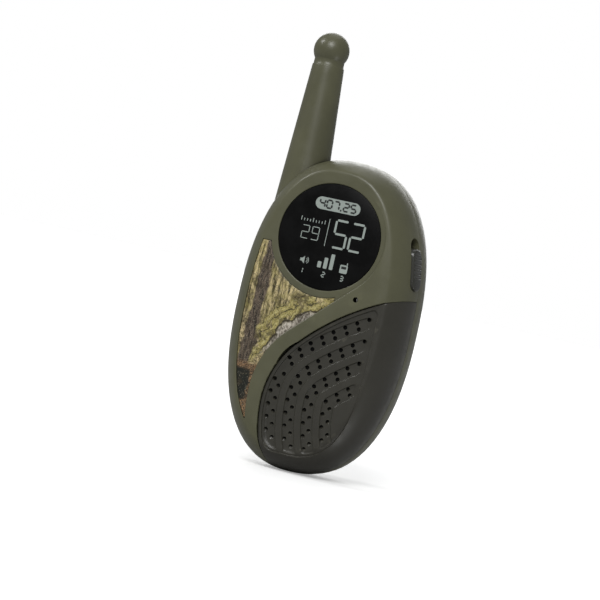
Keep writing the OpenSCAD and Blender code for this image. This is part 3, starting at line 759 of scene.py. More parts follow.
# The bars that each digit lights: a to g clockwise from the top, g in the middle
SEGMENTS = {
    "0": "abcdef", "1": "bc", "2": "abged", "3": "abgcd", "4": "fgbc",
    "5": "afgcd", "6": "afgedc", "7": "abc", "8": "abcdefg", "9": "abcdfg",
}


def seven_segment(bm, digit, x, z, w, h, t, y, part=0.62):
    """One digit, x and z at its lower left corner; part sets how far its bars stay apart."""
    g = t * part
    spots = {
        "a": [(g, h), (w - g, h)], "d": [(g, 0), (w - g, 0)], "g": [(g, h / 2), (w - g, h / 2)],
        "f": [(0, h / 2 + g), (0, h - g)], "b": [(w, h / 2 + g), (w, h - g)],
        "e": [(0, g), (0, h / 2 - g)], "c": [(w, g), (w, h / 2 - g)],
    }
    for s in SEGMENTS[digit]:
        (x0, z0), (x1, z1) = spots[s]
        run = Vector((x1 - x0, z1 - z0)).normalized()
        side = Vector((-run[1], run[0])) * t / 2
        a, b = Vector((x0, z0)), Vector((x1, z1))
        tip = run * t * 0.38
        ring = [a - tip, a + side, b + side, b + tip, b - side, a - side]
        area(bm, [(x + p[0], z + p[1]) for p in ring], y)


def round_block(x, z, w, h, r, steps=5):
    """Outline of a rectangle with round corners, x and z at its lower left corner."""
    corners = ((x + w - r, z + r), (x + w - r, z + h - r), (x + r, z + h - r), (x + r, z + r))
    return [(cx + r * math.cos(t), cz + r * math.sin(t)) for k, (cx, cz) in enumerate(corners)
            for t in np.linspace((k - 1) * math.pi / 2, k * math.pi / 2, steps)]


def pill(cx, cz, w, h):
    """Outline of a bar with round ends about its middle."""
    r = min(w, h) / 2
    return [(cx + s * (w / 2 - r + r * math.cos(t)), cz + s * r * math.sin(t))
            for s in (1, -1) for t in np.linspace(-math.pi / 2, math.pi / 2, 12)]


def build_print():
    """Pale marks, and dark ones on them: a pill, numbers, a scale, a divider and symbols over digits."""
    y = DISC[0][1] + 0.1
    dark_y = y - 0.02
    pale, dark = bmesh.new(), bmesh.new()
    pill_x, pill_z = 0.6, 10.2
    area(pale, pill(pill_x, pill_z, 15.2, 4.0), y)
    wide, tall, pitch, point = 1.7, 2.5, 2.4, 0.9
    left, foot = pill_x - (4 * pitch + point + wide) / 2, pill_z - tall / 2
    for k, digit in enumerate("40725"):
        gap = point if k > 2 else 0
        seven_segment(dark, digit, left + pitch * k + gap, foot, wide, tall, 0.56, dark_y, 0.52)
    area(dark, pill(left + 3 * pitch + (point + wide - pitch) / 2, foot, 0.6, 0.6), dark_y)
    stroke(pale, [(-1.0, -3.1), (-1.0, 5.7)], 0.22, y)
    for k, digit in enumerate("52"):
        seven_segment(pale, digit, 1.4 + 5.5 * k, -2.9, 4.1, 8.7, 0.7, y)
    for k, digit in enumerate("29"):
        seven_segment(pale, digit, -9.4 + 3.4 * k, -1.9, 2.3, 4.1, 0.26, y)
    # Scale over the small number
    for k in range(9):
        top = 4.9 if k % 4 == 0 else 4.4
        stroke(pale, [(k - 10.4, 3.6), (k - 10.4, top)], 0.26, y)
    # Loudspeaker
    sx, sz = -7.0, -8.7
    horn = [(-0.9, -0.45), (-0.3, -0.45), (0.55, -1.2), (0.55, 1.2), (-0.3, 0.45), (-0.9, 0.45)]
    area(pale, [(sx + x, sz + z) for x, z in horn], y)
    for r in (0.75, 1.25):
        bow = [(sx + 0.7 + r * math.cos(t), sz + r * math.sin(t)) for t in np.linspace(-0.9, 0.9, 9)]
        stroke(pale, bow, 0.22, y)
    # Rising signal bars
    for k in range(3):
        area(pale, round_block(2 * k - 1.9, -10.1, 1.25, 2.0 + 1.5 * k, 0.25), y)
    # Small radio
    rx, rz = 7.0, -8.9
    area(pale, round_block(rx - 1.3, rz - 1.5, 2.6, 2.7, 0.45), y)
    stroke(pale, [(rx + 0.95, rz + 1.1), (rx + 0.95, rz + 2.0)], 0.3, y)
    area(dark, round_block(rx - 0.85, rz - 0.1, 1.7, 0.8, 0.15), dark_y)
    for x, digit in ((-6.9, "1"), (0.7, "2"), (7.0, "3")):
        seven_segment(pale, digit, x - 0.5, -12.8, 1.0, 1.5, 0.34, y)
    return [raised(name, bm, 0.02) for name, bm in (("display_marks", pale), ("display_dark_marks", dark))]


def raised(name, bm, height):
    """Solid of flat faces, raised towards the front."""
    bmesh.ops.triangulate(bm, faces=bm.faces)
    for f in bm.faces:
        if f.normal.y > 0:
            f.normal_flip()
    thick = bmesh.ops.extrude_face_region(bm, geom=bm.faces[:])
    moved = [g for g in thick["geom"] if isinstance(g, bmesh.types.BMVert)]
    bmesh.ops.translate(bm, verts=moved, vec=(0, -height * MM, 0))
    bmesh.ops.recalc_face_normals(bm, faces=bm.faces)
    return from_bmesh(name, bm, 30)


# ---- Antenna, key and button


def antenna_body(name, grow=0.0):
    """Tapered rod from inside the shells up to the ball, with a soft neck under it."""
    foot_z, ball_z = ROD[0][2], ROD[1][2] - BALL_R
    tip_z = ball_z - 4.9
    rod_end = tip_z - 0.6
    rod_r = lambda z: ROD_FOOT_R + (ROD_TIP_R - ROD_FOOT_R) * (z - foot_z) / (tip_z - foot_z) + grow
    neck_r = rod_r(rod_end)
    profile = [(0, foot_z - grow), (ROD_FOOT_R + grow, foot_z - grow)]
    profile += [(rod_r(z), z) for z in np.linspace(foot_z, rod_end, 24)[1:]]
    profile += [(neck_r - 0.05, tip_z - 0.35), (neck_r - 0.25, tip_z - 0.12)]
    # The ball starts where it leaves the neck
    start = max(math.asin((tip_z + 0.12 - ball_z) / BALL_R), -math.acos((neck_r - grow - 0.35) / BALL_R))
    for t in np.linspace(start, math.pi / 2, 40)[:-1]:
        profile.append((BALL_R * math.cos(t) + grow, ball_z + (BALL_R + grow) * math.sin(t)))
    profile.append((0, ball_z + BALL_R + grow))
    rod = lathe(name, profile, 128, (0, 0, -ball_z))
    lean = Matrix.Rotation(math.radians(-ROD_LEAN), 4, "Y")
    rod.data.transform(Matrix.Translation(Vector((ROD_X, SEAM_Y, ball_z)) * MM) @ lean)
    return rod


def slot_outline(w, l, z, y):
    ring = slot_ring(w, l, z, y, np.linspace(0, math.pi, 21)[:-1])
    return even_line(np.array(ring), 120, closed=True)


def slot_distance(q, w, l, z, y):
    """Distance of points inside a slot-shaped outline."""
    dz = np.clip(np.abs(q[:, 1] - z) - (l - w) / 2, 0, None)
    return w / 2 - np.hypot(q[:, 0] - y, dz)


def slot_cap(name, w, l, y, z, pitch, margin, outer, inner_x, flip=False):
    """Slot-shaped cap on a side wall: outer gives the X of its surface, and y counts from the seam."""
    inside = lambda q: slot_distance(q, w, l, z, y)
    place = lambda q, x: np.stack([np.broadcast_to(x, len(q)), SEAM_Y + q[:, 0], q[:, 1]], 1)
    lines = [slot_outline(w - 2 * d, l - 2 * d, z, y) for d in (0, 0.04, 0.12, 0.25, 0.42, 0.65)]
    dots = hex_dots(y - w, y + w, z - l, z + l, pitch)
    net = flat_net(lines, [], dots[inside(dots) > margin], lambda q: inside(q) > 0)
    return slab(name, net, lambda q: place(q, outer(q, inside(q))), lambda q: place(q, inner_x), flip)


def ripple(z, pitch):
    """Waves from 0 to 1 along a height."""
    return 0.5 + 0.5 * np.cos(z / pitch * 2 * math.pi)


def travel_of(joint):
    """A joint's range, in millimetres."""
    low, high = next(j["range_m"] for j in frame["joints"] if j["name"] == joint)
    return (high - low) / MM


def build_key():
    """Sliding key: ribs over a smooth lower end, following the wall, 1 mm proud."""
    play, rib_pitch, rib_depth = 0.15, 1.55, 0.42
    foot, length, width = KEY_SLOT
    w, l = width - 2 * play, length - travel_of("power_slide") - 2 * play
    z = foot + play + l / 2

    def outer(q, d):
        y, up = q[:, 0], q[:, 1] - z
        field = smooth(up, -2.8, -2.2) * (1 - smooth(up, 5.0, 5.5)) * smooth(d, 0.15, 0.5)
        ribs = rib_depth * field * (1 - ripple(up + 1.6, rib_pitch) ** 0.6)
        return side_x(y, q[:, 1]) + 1.0 - soft_brim(d, 0.6) - ribs

    cap = slot_cap("power_key_cap", w, l, KEY_Y, z, 0.17, 0.75, outer, KEY[0][0] + 1.0)
    span, middle = KEY[1] - KEY[0], (KEY[0] + KEY[1]) / 2
    plate = slot_prism("key_plate", KEY[0][0], KEY[0][0] + 1.1, middle[1], middle[2], span[1], span[2])
    return unite("power_key_cap", cap, plate)


def build_talk():
    """Talk button: a rounded cap with faint waves that follows the left wall, 1.2 mm proud."""
    lo, hi = TALK
    w, l, y, z = 4.4, 11.0, 3.4, (lo[2] + hi[2]) / 2

    def outer(q, d):
        grip = 0.12 * ripple(q[:, 1] - z, 1.4) * smooth(d, 0.5, 0.9)
        return -side_x(q[:, 0], q[:, 1], rear=True) - (1.2 - soft_brim(d, 0.7)) + grip

    cap = slot_cap("talk_button_cap", w, l, y, z, 0.4, 0.8, outer, -23.0, flip=True)
    return unite("talk_button_cap", cap, block((hi[0] - 1.2, lo[1], lo[2]), hi, 0.3, "talk_plate"))


def build_spring():
    """Coil spring behind the talk button."""
    turns, steps, sides, wire_r = 5, 28, 8, 0.28
    lo, hi = SPRING
    middle, coil_r = (lo + hi) / 2, (hi[2] - lo[2]) / 2 - wire_r
    bm = bmesh.new()
    rings = []
    for i in range(turns * steps + 1):
        a = 2 * math.pi * i / steps
        start = lo[0] + wire_r + (hi[0] - lo[0] - 2 * wire_r) * i / (turns * steps)
        ring = []
        for b in full_turn(sides):
            r = coil_r + wire_r * math.cos(b)
            spot = (start + wire_r * math.sin(b), middle[1] + r * math.cos(a), middle[2] + r * math.sin(a))
            ring.append(bm.verts.new(Vector(spot) * MM))
        rings.append(ring)
    for a, b in zip(rings, rings[1:]):
        for k in range(sides):
            bm.faces.new((a[k], a[(k + 1) % sides], b[(k + 1) % sides], b[k]))
    bm.faces.new(rings[0])
    bm.faces.new(rings[-1])
    bmesh.ops.recalc_face_normals(bm, faces=bm.faces)
    return from_bmesh("talk_coil", bm, 60)


def squash_spring(spring):
    """Gives the spring a mesh of its own."""
    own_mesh(spring)


def block(lo, hi, r, name):
    """Rounded box between two corners."""
    bm = bmesh.new()
    bmesh.ops.create_cube(bm, size=1)
    size = (np.array(hi) - np.array(lo)) * MM
    bmesh.ops.scale(bm, vec=size, verts=bm.verts)
    bmesh.ops.translate(bm, vec=(np.array(hi) + np.array(lo)) / 2 * MM, verts=bm.verts)
    bmesh.ops.bevel(bm, geom=bm.edges[:], offset=r * MM, segments=3, affect="EDGES", profile=0.5)
    return from_bmesh(name, bm)


def unite(name, *parts):
    """Several meshes as one object."""
    bm = bmesh.new()
    for part in parts:
        bm.from_mesh(part.data)
        bpy.data.objects.remove(part)
    return from_bmesh(name, bm)


# ---- Materials


class Paint:
    """Short names for the nodes of one material. Sizes are in millimetres."""

    SOCKETS = {
        "metal": "Metallic", "coat": "Coat Weight", "sheen": "Sheen Weight", "gloss": "Specular IOR Level",
    }

    def __init__(self, name):
        self.material = bpy.data.materials.new(name)
        self.material.use_nodes = True
        self.tree = self.material.node_tree
        self.shader = self.tree.nodes["Principled BSDF"]
        self.where = self.add("TexCoord", "Object", {})

    def link(self, value, socket):
        if isinstance(value, bpy.types.NodeSocket):
            self.tree.links.new(value, socket)
        elif socket.type == "RGBA":
            socket.default_value = (*value, 1)
        else:
            socket.default_value = value

    def add(self, kind, out, inputs, **settings):
        """Adds a node, feeds its inputs and returns its output of the name or number out."""
        node = self.tree.nodes.new("ShaderNode" + kind)
        for key, value in settings.items():
            setattr(node, key, value)
        for key, value in inputs.items():
            self.link(value, node.inputs[key])
        return node.outputs[out]

    def math(self, op, a, b=0.0):
        return self.add("Math", 0, {0: a, 1: b}, operation=op)

    def noise(self, size, detail=4.0, rough=0.55, at=None):
        inputs = {"Vector": at or self.where, "Scale": 1 / (size * MM), "Detail": detail, "Roughness": rough}
        return self.add("TexNoise", "Fac", inputs)

    def ramp(self, value, low, high, a=0.0, b=1.0):
        """a where value is at low, b where it is at high, with a soft change between."""
        inputs = dict(enumerate((value, low, high, a, b)))
        return self.add("MapRange", 0, inputs, interpolation_type="SMOOTHSTEP")

    def patches(self, size, detail, low, high, a=0.0, b=1.0):
        """Cloudy patches of noise, from a to b."""
        return self.ramp(self.noise(size, detail), low, high, a, b)

    def mix(self, share, a, b):
        return self.add("Mix", 2, {0: share, 6: a, 7: b}, data_type="RGBA")

    def split(self):
        """X, Y and Z in millimetres."""
        place = self.add("VectorMath", 0, {0: self.where, 1: (1 / MM, 1 / MM, 1 / MM)}, operation="MULTIPLY")
        return self.add("SeparateXYZ", slice(None), {0: place})

    def range_from(self, x, z, centre):
        """Distance in X and Z from a point."""
        spot = self.add("CombineXYZ", 0, {0: x, 2: z})
        return self.add("VectorMath", "Value", {0: spot, 1: (centre[0], 0, centre[1])}, operation="DISTANCE")

    def band(self, value, low, high, brim):
        """1 between low and high, fading over brim on both sides."""
        rise = self.ramp(value, low - brim, low + brim)
        return self.math("MULTIPLY", rise, self.ramp(value, high - brim, high + brim, 1, 0))

    def shift(self, scale=(1, 1, 1), rotation=(0, 0, 0)):
        return self.add("Mapping", 0, {"Vector": self.where, "Scale": scale, "Rotation": rotation})

    def bump(self, height, depth, strength=1.0, after=None):
        inputs = {"Strength": strength, "Distance": depth * MM, "Height": height}
        if after is not None:
            inputs["Normal"] = after
        return self.add("Bump", 0, inputs)

    def finish(self, colour, rough, normal=None, **more):
        """Feeds the shader and returns the material; more holds metal, coat, sheen and gloss."""
        inputs = {"Base Color": colour, "Roughness": rough, "Coat Roughness": 0.1}
        inputs.update((self.SOCKETS[key], value) for key, value in more.items())
        if normal is not None:
            inputs["Normal"] = normal
        for key, value in inputs.items():
            self.link(value, self.shader.inputs[key])
        return self.material


def shade(colour, k):
    return tuple(c * k for c in colour)


def moulded(name, colour, rough, depth=0.006, coat=0.0, wear_and_highlight=0.25, pale=1.7):
    """Moulded plastic: fine spark-eroded grain, cloudy tone, paler edges that are partly rubbed wear and partly
    painted highlight, and painted shade in deep gaps.
    """
    painted_shade = (0.004, 0.004, 0.003)
    p = Paint(name)
    grain = p.noise(0.16, 2)
    base = p.mix(p.patches(14, 3, 0.35, 0.65), shade(colour, 0.93), shade(colour, 1.07))
    base = p.mix(p.ramp(grain, 0.3, 0.7, 0, 0.12), base, shade(colour, 0.6))
    # Convex edges turn paler: partly rubbed wear, partly a painted highlight along rims and ridges.
    edges = p.ramp(p.add("NewGeometry", "Pointiness", {}), 0.508, 0.55)
    rub_and_highlight = p.math("MULTIPLY", edges, p.patches(2.2, 5, 0.35, 0.7))
    base = p.mix(p.math("MULTIPLY", rub_and_highlight, wear_and_highlight), base, shade(colour, pale))
    # Painted shade: the colour darkens towards near black where ambient occlusion finds deep gaps, slots and
    # holes.
    open_share = p.add("AmbientOcclusion", "AO", {"Distance": 2.5 * MM}, samples=6)
    base = p.mix(p.ramp(open_share, 0.72, 0.3, 0, 0.9), base, painted_shade)
    roughness = p.patches(3.0, 6, 0.25, 0.75, rough - 0.05, rough + 0.07)
    return p.finish(base, roughness, p.bump(p.noise(6, 2), 0.02, 0.5, p.bump(grain, depth)), coat=coat)


def metal(name, colour, rough, brushed=(1, 1, 1), stain=0.15):
    """Plated sheet or wire: drawn scratches and cloudy tarnish."""
    p = Paint(name)
    scratch = p.noise(0.35, 6, at=p.shift(brushed))
    base = p.mix(p.math("MULTIPLY", p.patches(2.5, 5, 0.4, 0.75), stain), colour, shade(colour, 0.45))
    roughness = p.ramp(scratch, 0.3, 0.7, rough - 0.08, rough + 0.14)
    return p.finish(base, roughness, p.bump(scratch, 0.008, 0.6), metal=1.0)


def camouflage():
    """Own woodland pattern from noise: bark, grass, leaves and a branch that run with the band."""
    p = Paint("woodland_print")
    tilted = lambda degrees: (0, math.radians(degrees), 0)
    x, _, z = p.split()
    sway = p.math("MULTIPLY", p.math("SUBTRACT", p.noise(5, 3), 0.5), 4)
    wx, wz = p.math("ADD", x, sway), p.math("SUBTRACT", z, sway)
    out = p.math("SUBTRACT", p.range_from(wx, wz, FLOW.centre), FLOW.bend_r)
    grit = p.noise(0.42, 8, 0.75)
    # Litter: tan crumbs with dark gaps
    litter = p.mix(p.ramp(grit, 0.36, 0.62), (0.03, 0.024, 0.014), (0.62, 0.5, 0.27))
    litter = p.mix(p.patches(1.6, 5, 0.48, 0.62, 0, 0.7), litter, (0.16, 0.13, 0.05))
    # Grass: upright pale blades between dark ones
    blades = p.noise(0.8, 5, 0.6, p.shift((1, 1, 0.12), tilted(8)))
    grass = p.mix(p.ramp(blades, 0.4, 0.58), (0.05, 0.042, 0.015), (0.6, 0.49, 0.25))
    grass = p.mix(p.patches(2.2, 3, 0.42, 0.6, 0, 0.6), grass, (0.27, 0.23, 0.08))
    ground = p.mix(p.ramp(z, -9, -1), litter, grass)
    # Leaves: broad yellow-green tongues with dark outlines, side by side along the branch
    fold = p.math("ADD", out, p.math("MULTIPLY", p.noise(3.4, 3), 5))
    tongue = p.math("PINGPONG", fold, 1.5)
    leaf = p.mix(p.ramp(grit, 0.35, 0.62), (0.17, 0.145, 0.035), (0.46, 0.39, 0.15))
    leaf = p.mix(p.ramp(tongue, 0.1, 0.42, 0.85, 0), leaf, (0.025, 0.022, 0.008))
    leaf = p.mix(p.ramp(tongue, 1.2, 1.45, 0, 0.45), leaf, (0.7, 0.64, 0.3))
    leaves = p.math("MULTIPLY", p.band(out, 5.6, 12.5, 0.7), p.patches(2.6, 4, 0.36, 0.46))
    ground = p.mix(p.math("MULTIPLY", leaves, p.ramp(z, -20, -17)), ground, leaf)
    # Bark: a dark upright stem with rough streaks
    streak = p.noise(0.7, 8, 0.78, p.shift((1, 1, 0.2)))
    bark = p.mix(p.ramp(streak, 0.4, 0.6), (0.014, 0.011, 0.008), (0.14, 0.105, 0.075))
    bark = p.mix(p.ramp(grit, 0.55, 0.68, 0, 0.6), bark, (0.4, 0.33, 0.24))
    upright = p.math("SUBTRACT", wx, p.math("MULTIPLY", z, 0.04))
    ground = p.mix(p.band(upright, -20.9, -16.6, 0.45), ground, bark)
    # Branch: a pale grey limb against the band, with a dark underside
    fibre = p.noise(0.5, 7, 0.7, p.shift((1, 1, 0.5), tilted(-42)))
    wood = p.mix(p.ramp(fibre, 0.36, 0.6), (0.13, 0.11, 0.08), (0.58, 0.53, 0.45))
    reach = p.math("MULTIPLY", p.ramp(z, -17, -12), p.ramp(x, 2, 4, 1, 0))
    ground = p.mix(p.math("MULTIPLY", p.band(out, 6.2, 6.9, 0.25), reach), ground, (0.04, 0.032, 0.018))
    ground = p.mix(p.math("MULTIPLY", p.band(out, 3.4, 6.2, 0.4), reach), ground, wood)
    # Brown crumbs low on the panel round a black gap at its left
    rust = p.mix(p.ramp(grit, 0.4, 0.62), (0.02, 0.012, 0.007), (0.34, 0.2, 0.1))
    low = p.math("ADD", z, p.math("MULTIPLY", sway, 0.6))
    ground = p.mix(p.ramp(low, -18.5, -20, 0, 0.92), ground, rust)
    gap = p.math("MULTIPLY", p.band(low, -31, -21.5, 0.5), p.ramp(wx, -15.6, -16.6))
    ground = p.mix(gap, ground, (0.01, 0.012, 0.008))
    # Soft shadows, then dark twigs and pale specks over everything
    ground = p.mix(p.ramp(p.noise(3.2, 5, 0.65), 0.5, 0.66, 0, 0.7), ground, (0.035, 0.026, 0.013))
    twig = p.noise(1.8, 6, 0.6, p.shift((1, 1, 0.55), tilted(-28)))
    line = p.ramp(p.math("ABSOLUTE", p.math("SUBTRACT", twig, 0.47)), 0.004, 0.016, 0.75, 0)
    ground = p.mix(line, ground, (0.022, 0.017, 0.01))
    ground = p.mix(p.patches(0.3, 3, 0.6, 0.7, 0, 0.35), ground, (0.66, 0.6, 0.44))
    return p.finish(ground, p.patches(2, 4, 0.3, 0.7, 0.34, 0.46), p.bump(grit, 0.004, 0.6), gloss=0.35)


def display_black():
    """Black print under a satin lacquer."""
    p = Paint("display_black")
    tone = p.mix(p.patches(5, 4, 0.3, 0.7), (0.003, 0.003, 0.003), (0.006, 0.006, 0.006))
    rough = p.patches(0.8, 4, 0.3, 0.7, 0.3, 0.42)
    return p.finish(tone, rough, p.bump(p.noise(0.3, 2), 0.002, 0.5), gloss=0.08)


def mic_capsule():
    """Bare can with a black felt over its front, whose black is painted shade for the microphone's hole."""
    p = Paint("mic_capsule")
    front = mm_box("microphone")[0][1]
    # Painted shade: the can's front is near black so that the microphone's hole looks dark.
    felt = p.ramp(p.split()[1], front + 0.5, front + 0.3)
    can = p.mix(p.noise(2, 4), (0.5, 0.5, 0.48), (0.66, 0.66, 0.62))
    colour = p.mix(felt, can, (0.006, 0.006, 0.006))
    rough, bare = p.ramp(felt, 0, 1, 0.3, 0.95), p.math("SUBTRACT", 1.0, felt)
    return p.finish(colour, rough, p.bump(p.noise(0.15, 5), 0.03), metal=bare, gloss=0.3)


def ink(name, colour):
    """Printed ink with slightly uneven cover."""
    p = Paint(name)
    tone = p.mix(p.patches(0.25, 4, 0.3, 0.7), shade(colour, 0.88), shade(colour, 1.05))
    return p.finish(tone, 0.45, p.bump(p.noise(0.2, 2), 0.002, 0.5))


def board():
    """Circuit board: solder mask over paler tracks, with tinned pads."""
    p = Paint("circuit_board")
    facing = p.shift(rotation=(math.pi / 2, 0, 0))
    tracks = p.add("TexBrick", "Fac", {"Vector": facing, "Scale": 1 / (4 * MM), "Mortar Size": 0.06})
    mask = p.mix(p.ramp(tracks, 0.2, 0.8), (0.03, 0.16, 0.07), (0.08, 0.3, 0.13))
    cells = p.add("TexVoronoi", "Distance", {"Vector": p.where, "Scale": 1 / (2.6 * MM)})
    pad = p.ramp(cells, 0.16, 0.2, 1, 0)
    colour = p.mix(pad, mask, (0.7, 0.68, 0.6))
    return p.finish(colour, p.ramp(pad, 0, 1, 0.35, 0.25), p.bump(tracks, 0.03), metal=pad, coat=0.3)


def cell_jacket():
    """Battery: a plain light grey jacket with a green band and bare metal ends."""
    p = Paint("cell_jacket")
    lo, hi = mm_box("batteries")
    z = p.split()[2]
    ends = p.math("ADD", p.ramp(z, lo[2] + 1.3, lo[2] + 1.1), p.ramp(z, hi[2] - 0.5, hi[2] - 0.3))
    grey = p.mix(p.noise(6, 3), (0.3, 0.31, 0.32), (0.38, 0.39, 0.4))
    green = p.mix(p.noise(3, 4), (0.03, 0.13, 0.06), (0.05, 0.18, 0.09))
    jacket = p.mix(p.band(z, lo[2] + 5, lo[2] + 12, 0.05), grey, green)
    colour = p.mix(ends, jacket, (0.7, 0.7, 0.7))
    rough = p.patches(1, 5, 0.3, 0.7, 0.22, 0.34)
    return p.finish(colour, rough, p.bump(p.noise(0.6, 4), 0.006), metal=ends, coat=0.4)


def sleeve():
    """Capacitor: dark blue sleeve with a bare top."""
    p = Paint("capacitor_sleeve")
    front = mm_box("capacitors")[0][1]
    top = p.ramp(p.split()[1], front + 0.35, front + 0.2)
    blue = p.mix(p.noise(3, 3), (0.01, 0.02, 0.1), (0.02, 0.035, 0.16))
    colour = p.mix(top, blue, (0.7, 0.7, 0.72))
    return p.finish(colour, 0.3, p.bump(p.noise(0.5, 3), 0.01), metal=top, coat=0.3)


def cone_paper():
    """Dark pressed paper."""
    p = Paint("cone_paper")
    fibre = p.noise(0.3, 8, 0.7)
    colour = p.mix(p.ramp(fibre, 0.35, 0.65), (0.012, 0.011, 0.01), (0.06, 0.055, 0.05))
    return p.finish(colour, 0.85, p.bump(fibre, 0.05), sheen=0.3)


def black_shade_cloth():
    """Black woven cloth, 18 radians of weave to the millimetre, dark as painted shade behind the grille's holes.
    """
    p = Paint("black_shade_cloth")
    x, _, z = p.split()
    weave = p.math("MULTIPLY", *(p.math("SINE", p.math("MULTIPLY", side, 18)) for side in (x, z)))
    colour = p.mix(p.ramp(weave, -0.6, 0.8), (0.002, 0.002, 0.002), (0.008, 0.008, 0.008))
    return p.finish(colour, 0.95, p.bump(weave, 0.02), gloss=0.1)


def insulation(name, colour):
    """Wire's plastic cover."""
    p = Paint(name)
    tone = p.mix(p.noise(2, 3), shade(colour, 0.8), shade(colour, 1.15))
    return p.finish(tone, p.patches(1, 4, 0.3, 0.7, 0.32, 0.45), p.bump(p.noise(0.4, 3), 0.01), coat=0.2)


OLIVE = (0.094, 0.093, 0.052)
COVER_GREY = (0.033, 0.031, 0.023)
KEY_GREY = (0.026, 0.026, 0.02)
PRINT_PALE = (0.32, 0.365, 0.335)
PRINT_DARK = (0.008, 0.009, 0.008)

MATERIALS = {
    "olive_abs": moulded("olive_abs", OLIVE, 0.37),
    # The cover's strong pale edges are mostly a painted highlight along its channel rims.
    "cover_abs": moulded("cover_abs", COVER_GREY, 0.36, wear_and_highlight=0.6, pale=2.4),
    "key_abs": moulded("key_abs", KEY_GREY, 0.3, depth=0.003, coat=0.2),
    "printed_panel": camouflage(),
    "printed_display": display_black(),
    "black_plastic": moulded("black_plastic", (0.012, 0.012, 0.012), 0.4),
    "white_plastic": moulded("white_plastic", (0.7, 0.69, 0.62), 0.4),
    "steel": metal("zinc_steel", (0.62, 0.62, 0.6), 0.32, brushed=(1, 1, 0.2)),
    "tinned": metal("nickel_plate", (0.72, 0.7, 0.66), 0.25),
    "magnet": metal("ferrite", (0.08, 0.08, 0.085), 0.55, stain=0.4),
    "copper": metal("copper_wire", (0.8, 0.42, 0.22), 0.3),
    "board": board(),
    "capacitor_sleeve": sleeve(),
    "cone_paper": cone_paper(),
    "wire_red": insulation("wire_red", (0.45, 0.02, 0.02)),
    "wire_blue": insulation("wire_blue", (0.02, 0.04, 0.35)),
    "battery_jacket": cell_jacket(),
}


def wear(obj, slot):
    """Gives obj a slot's material."""
    obj.data.materials.clear()
    obj.data.materials.append(MATERIALS[slot])


# ---- Carried-over CAD nodes


def soft_shading_group(sharp=32):
    """Modifier group that shades smooth except across edges over sharp degrees."""
    group = bpy.data.node_groups.new("smooth_by_angle", "GeometryNodeTree")
    for way in ("INPUT", "OUTPUT"):
        group.interface.new_socket("Geometry", in_out=way, socket_type="NodeSocketGeometry")
    make, join_up = group.nodes.new, group.links.new
    source, sink = make("NodeGroupInput"), make("NodeGroupOutput")
    faces, edges = make("GeometryNodeSetShadeSmooth"), make("GeometryNodeSetShadeSmooth")
    edges.domain = "EDGE"
    edges.inputs["Shade Smooth"].default_value = False
    angle, over = make("GeometryNodeInputMeshEdgeAngle"), make("FunctionNodeCompare")
    over.operation = "GREATER_THAN"
    over.inputs[1].default_value = math.radians(sharp)
    join_up(angle.outputs[0], over.inputs[0])
    join_up(source.outputs[0], faces.inputs["Geometry"])
    join_up(faces.outputs[0], edges.inputs["Geometry"])
    join_up(over.outputs[0], edges.inputs["Selection"])
    join_up(edges.outputs[0], sink.inputs[0])
    return group


SOFT = soft_shading_group()
# Bevel of each CAD node's edges, in millimetres
BEVELS = {
    "rear_shell": 0.25, "battery_door": 0.25, "belt_clip": 0.35, "slide_switch": 0.15, "talk_switch": 0.2,
    "chip": 0.12, "coil_cans": 0.25, "pcb": 0.1, "speaker_magnet": 0.4, "batteries": 0.35,
    "speaker_ring": 0.15, "crystal": 0.3, "capacitors": 0.3, "microphone": 0.2, "contact_plates": 0.08,
    "slide_lever": 0.15, "case_screws": 0.12, "door_screw": 0.12, "pcb_screws": 0.1, "ring_screws": 0.1,
}


def dress_nodes():
    """Material, bevelled edges and soft shading for every CAD node."""
    slots = {s["node"]: s["material_slot"] for s in frame["record"]["subparts"]}
    for node, obj in frame["nodes"].items():
        wear(obj, slots[node])
        obj.modifiers.new("weld", "WELD").merge_threshold = 1e-6
        if node in BEVELS:
            bevel = obj.modifiers.new("bevel", "BEVEL")
            bevel.width = BEVELS[node] * MM
            bevel.segments = 2
            bevel.limit_method = "ANGLE"
            bevel.angle_limit = math.radians(40)
            bevel.use_clamp_overlap = True
        obj.modifiers.new("soft", "NODES").node_group = SOFT
    frame["nodes"]["microphone"].data.materials[0] = mic_capsule()


# ---- Studio


def sun(name, way, strength, spread):
    """Soft light from a direction, even over the whole floor; spread is its width in degrees."""
    data = bpy.data.lights.new(name, "SUN")
    data.energy, data.angle = strength, math.radians(spread)
    obj = bpy.data.objects.new(name, data)
    obj.rotation_euler = Vector(way).to_track_quat("Z", "Y").to_euler()
    bpy.context.scene.collection.objects.link(obj)


def floor():
    """Pale floor that casts no shadow and looks brighter to the camera than to the object."""
    bm = bmesh.new()
    bmesh.ops.create_circle(bm, cap_ends=True, segments=96, radius=30)
    disc = from_bmesh("floor", bm)
    disc.location = (0, 0, -HALF_H * MM)
    disc.visible_shadow = False
    p = Paint("floor_paper")
    paper = p.mix(p.noise(400, 2), (0.92, 0.92, 0.915), (0.95, 0.95, 0.945))
    seen = p.add("LightPath", "Is Camera Ray", {})
    p.link((1.0, 1.0, 1.0), p.shader.inputs["Emission Color"])
    p.link(p.math("MULTIPLY", seen, 0.3), p.shader.inputs["Emission Strength"])
    disc.data.materials.append(p.finish(p.mix(seen, (0.4, 0.4, 0.4), paper), 0.8, gloss=0.1))


def sky():
    """Even sky, which the camera sees white and the object sees dimmer."""
    world = bpy.data.worlds.new("sky")
    world.use_nodes = True
    tree = world.node_tree
    seen, mix = tree.nodes.new("ShaderNodeLightPath"), tree.nodes.new("ShaderNodeMix")
    mix.data_type = "RGBA"
    mix.inputs[6].default_value = (0.27, 0.275, 0.28, 1)
    mix.inputs[7].default_value = (1, 1, 1, 1)
    tree.links.new(seen.outputs["Is Camera Ray"], mix.inputs[0])
    tree.links.new(mix.outputs[2], tree.nodes["Background"].inputs[0])
    bpy.context.scene.world = world


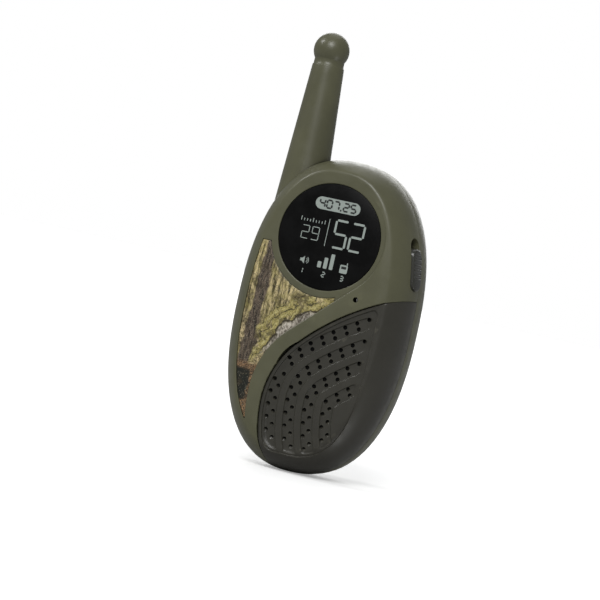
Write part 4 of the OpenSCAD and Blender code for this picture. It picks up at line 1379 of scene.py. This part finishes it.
def studio():
    floor()
    sky()
    sun("key", (0.1, -0.8, 0.6), 1.85, 30)
    sun("left", (-0.75, -0.3, 0.6), 0.75, 12)
    sun("top", (-0.1, 0.35, 0.9), 0.3, 40)
    sun("back", (-0.25, 0.9, 0.35), 1.0, 40)
    sun("low", (0.72, -0.2, -0.62), 0.25, 9)


def camera():
    """Level view from the object's right, rolled as it is held."""
    azimuth, elevation, roll = (math.radians(v) for v in (19, 0.5, 12.7))
    distance, sensor = 0.8, 36
    # Width of the view at the object, and how far it lies left of and above the object's middle
    view_w, view_left, view_up = 0.19355, 0.008065, 0.00558
    across = math.cos(elevation)
    back = Vector((math.sin(azimuth) * across, -math.cos(azimuth) * across, math.sin(elevation)))
    level = Vector((0, 0, 1)).cross(back).normalized()
    upright = back.cross(level)
    right = math.cos(roll) * level + math.sin(roll) * upright
    up = -math.sin(roll) * level + math.cos(roll) * upright
    data = bpy.data.cameras.new("camera")
    data.sensor_width = sensor
    data.lens = sensor * distance / view_w
    obj = bpy.data.objects.new("camera", data)
    place = Vector((0, SEAM_Y * MM, 0)) + back * distance - right * view_left + up * view_up
    obj.matrix_world = Matrix.Translation(place) @ Matrix((right, up, back)).transposed().to_4x4()
    bpy.context.scene.collection.objects.link(obj)
    bpy.context.scene.camera = obj


# ---- Assembly

dress_nodes()
PIECES = [
    (build_front_shell(), "casing", "front_shell", "olive_abs"),
    (build_cover(), "casing", "speaker_cover", "cover_abs"),
    (build_inlay(), "casing", "camo_inlay", "printed_panel"),
    (build_disc(), "casing", "display_disc", "printed_display"),
    (antenna_body("antenna_rod"), "casing", "antenna", "olive_abs"),
    (build_key(), "power_key", "power_key", "key_abs"),
    (build_talk(), "talk_button", "talk_button", "key_abs"),
    (build_spring(), "casing", "talk_spring", "tinned"),
]
for piece, body, node, slot in PIECES:
    wear(piece, slot)
    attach(piece, body)
    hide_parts(node)
squash_spring(PIECES[-1][0])
# Painted shade: the black cloth makes every grille hole look dark.
cloth = build_cloth()
cloth.data.materials.append(black_shade_cloth())
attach(cloth, "casing")
marks, dark_marks = build_print()
for piece, tone in ((marks, PRINT_PALE), (dark_marks, PRINT_DARK)):
    piece.data.materials.append(ink(piece.name + "_ink", tone))
    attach(piece, "casing")
studio()
camera()
bpy.context.scene.view_settings.view_transform = "Standard"
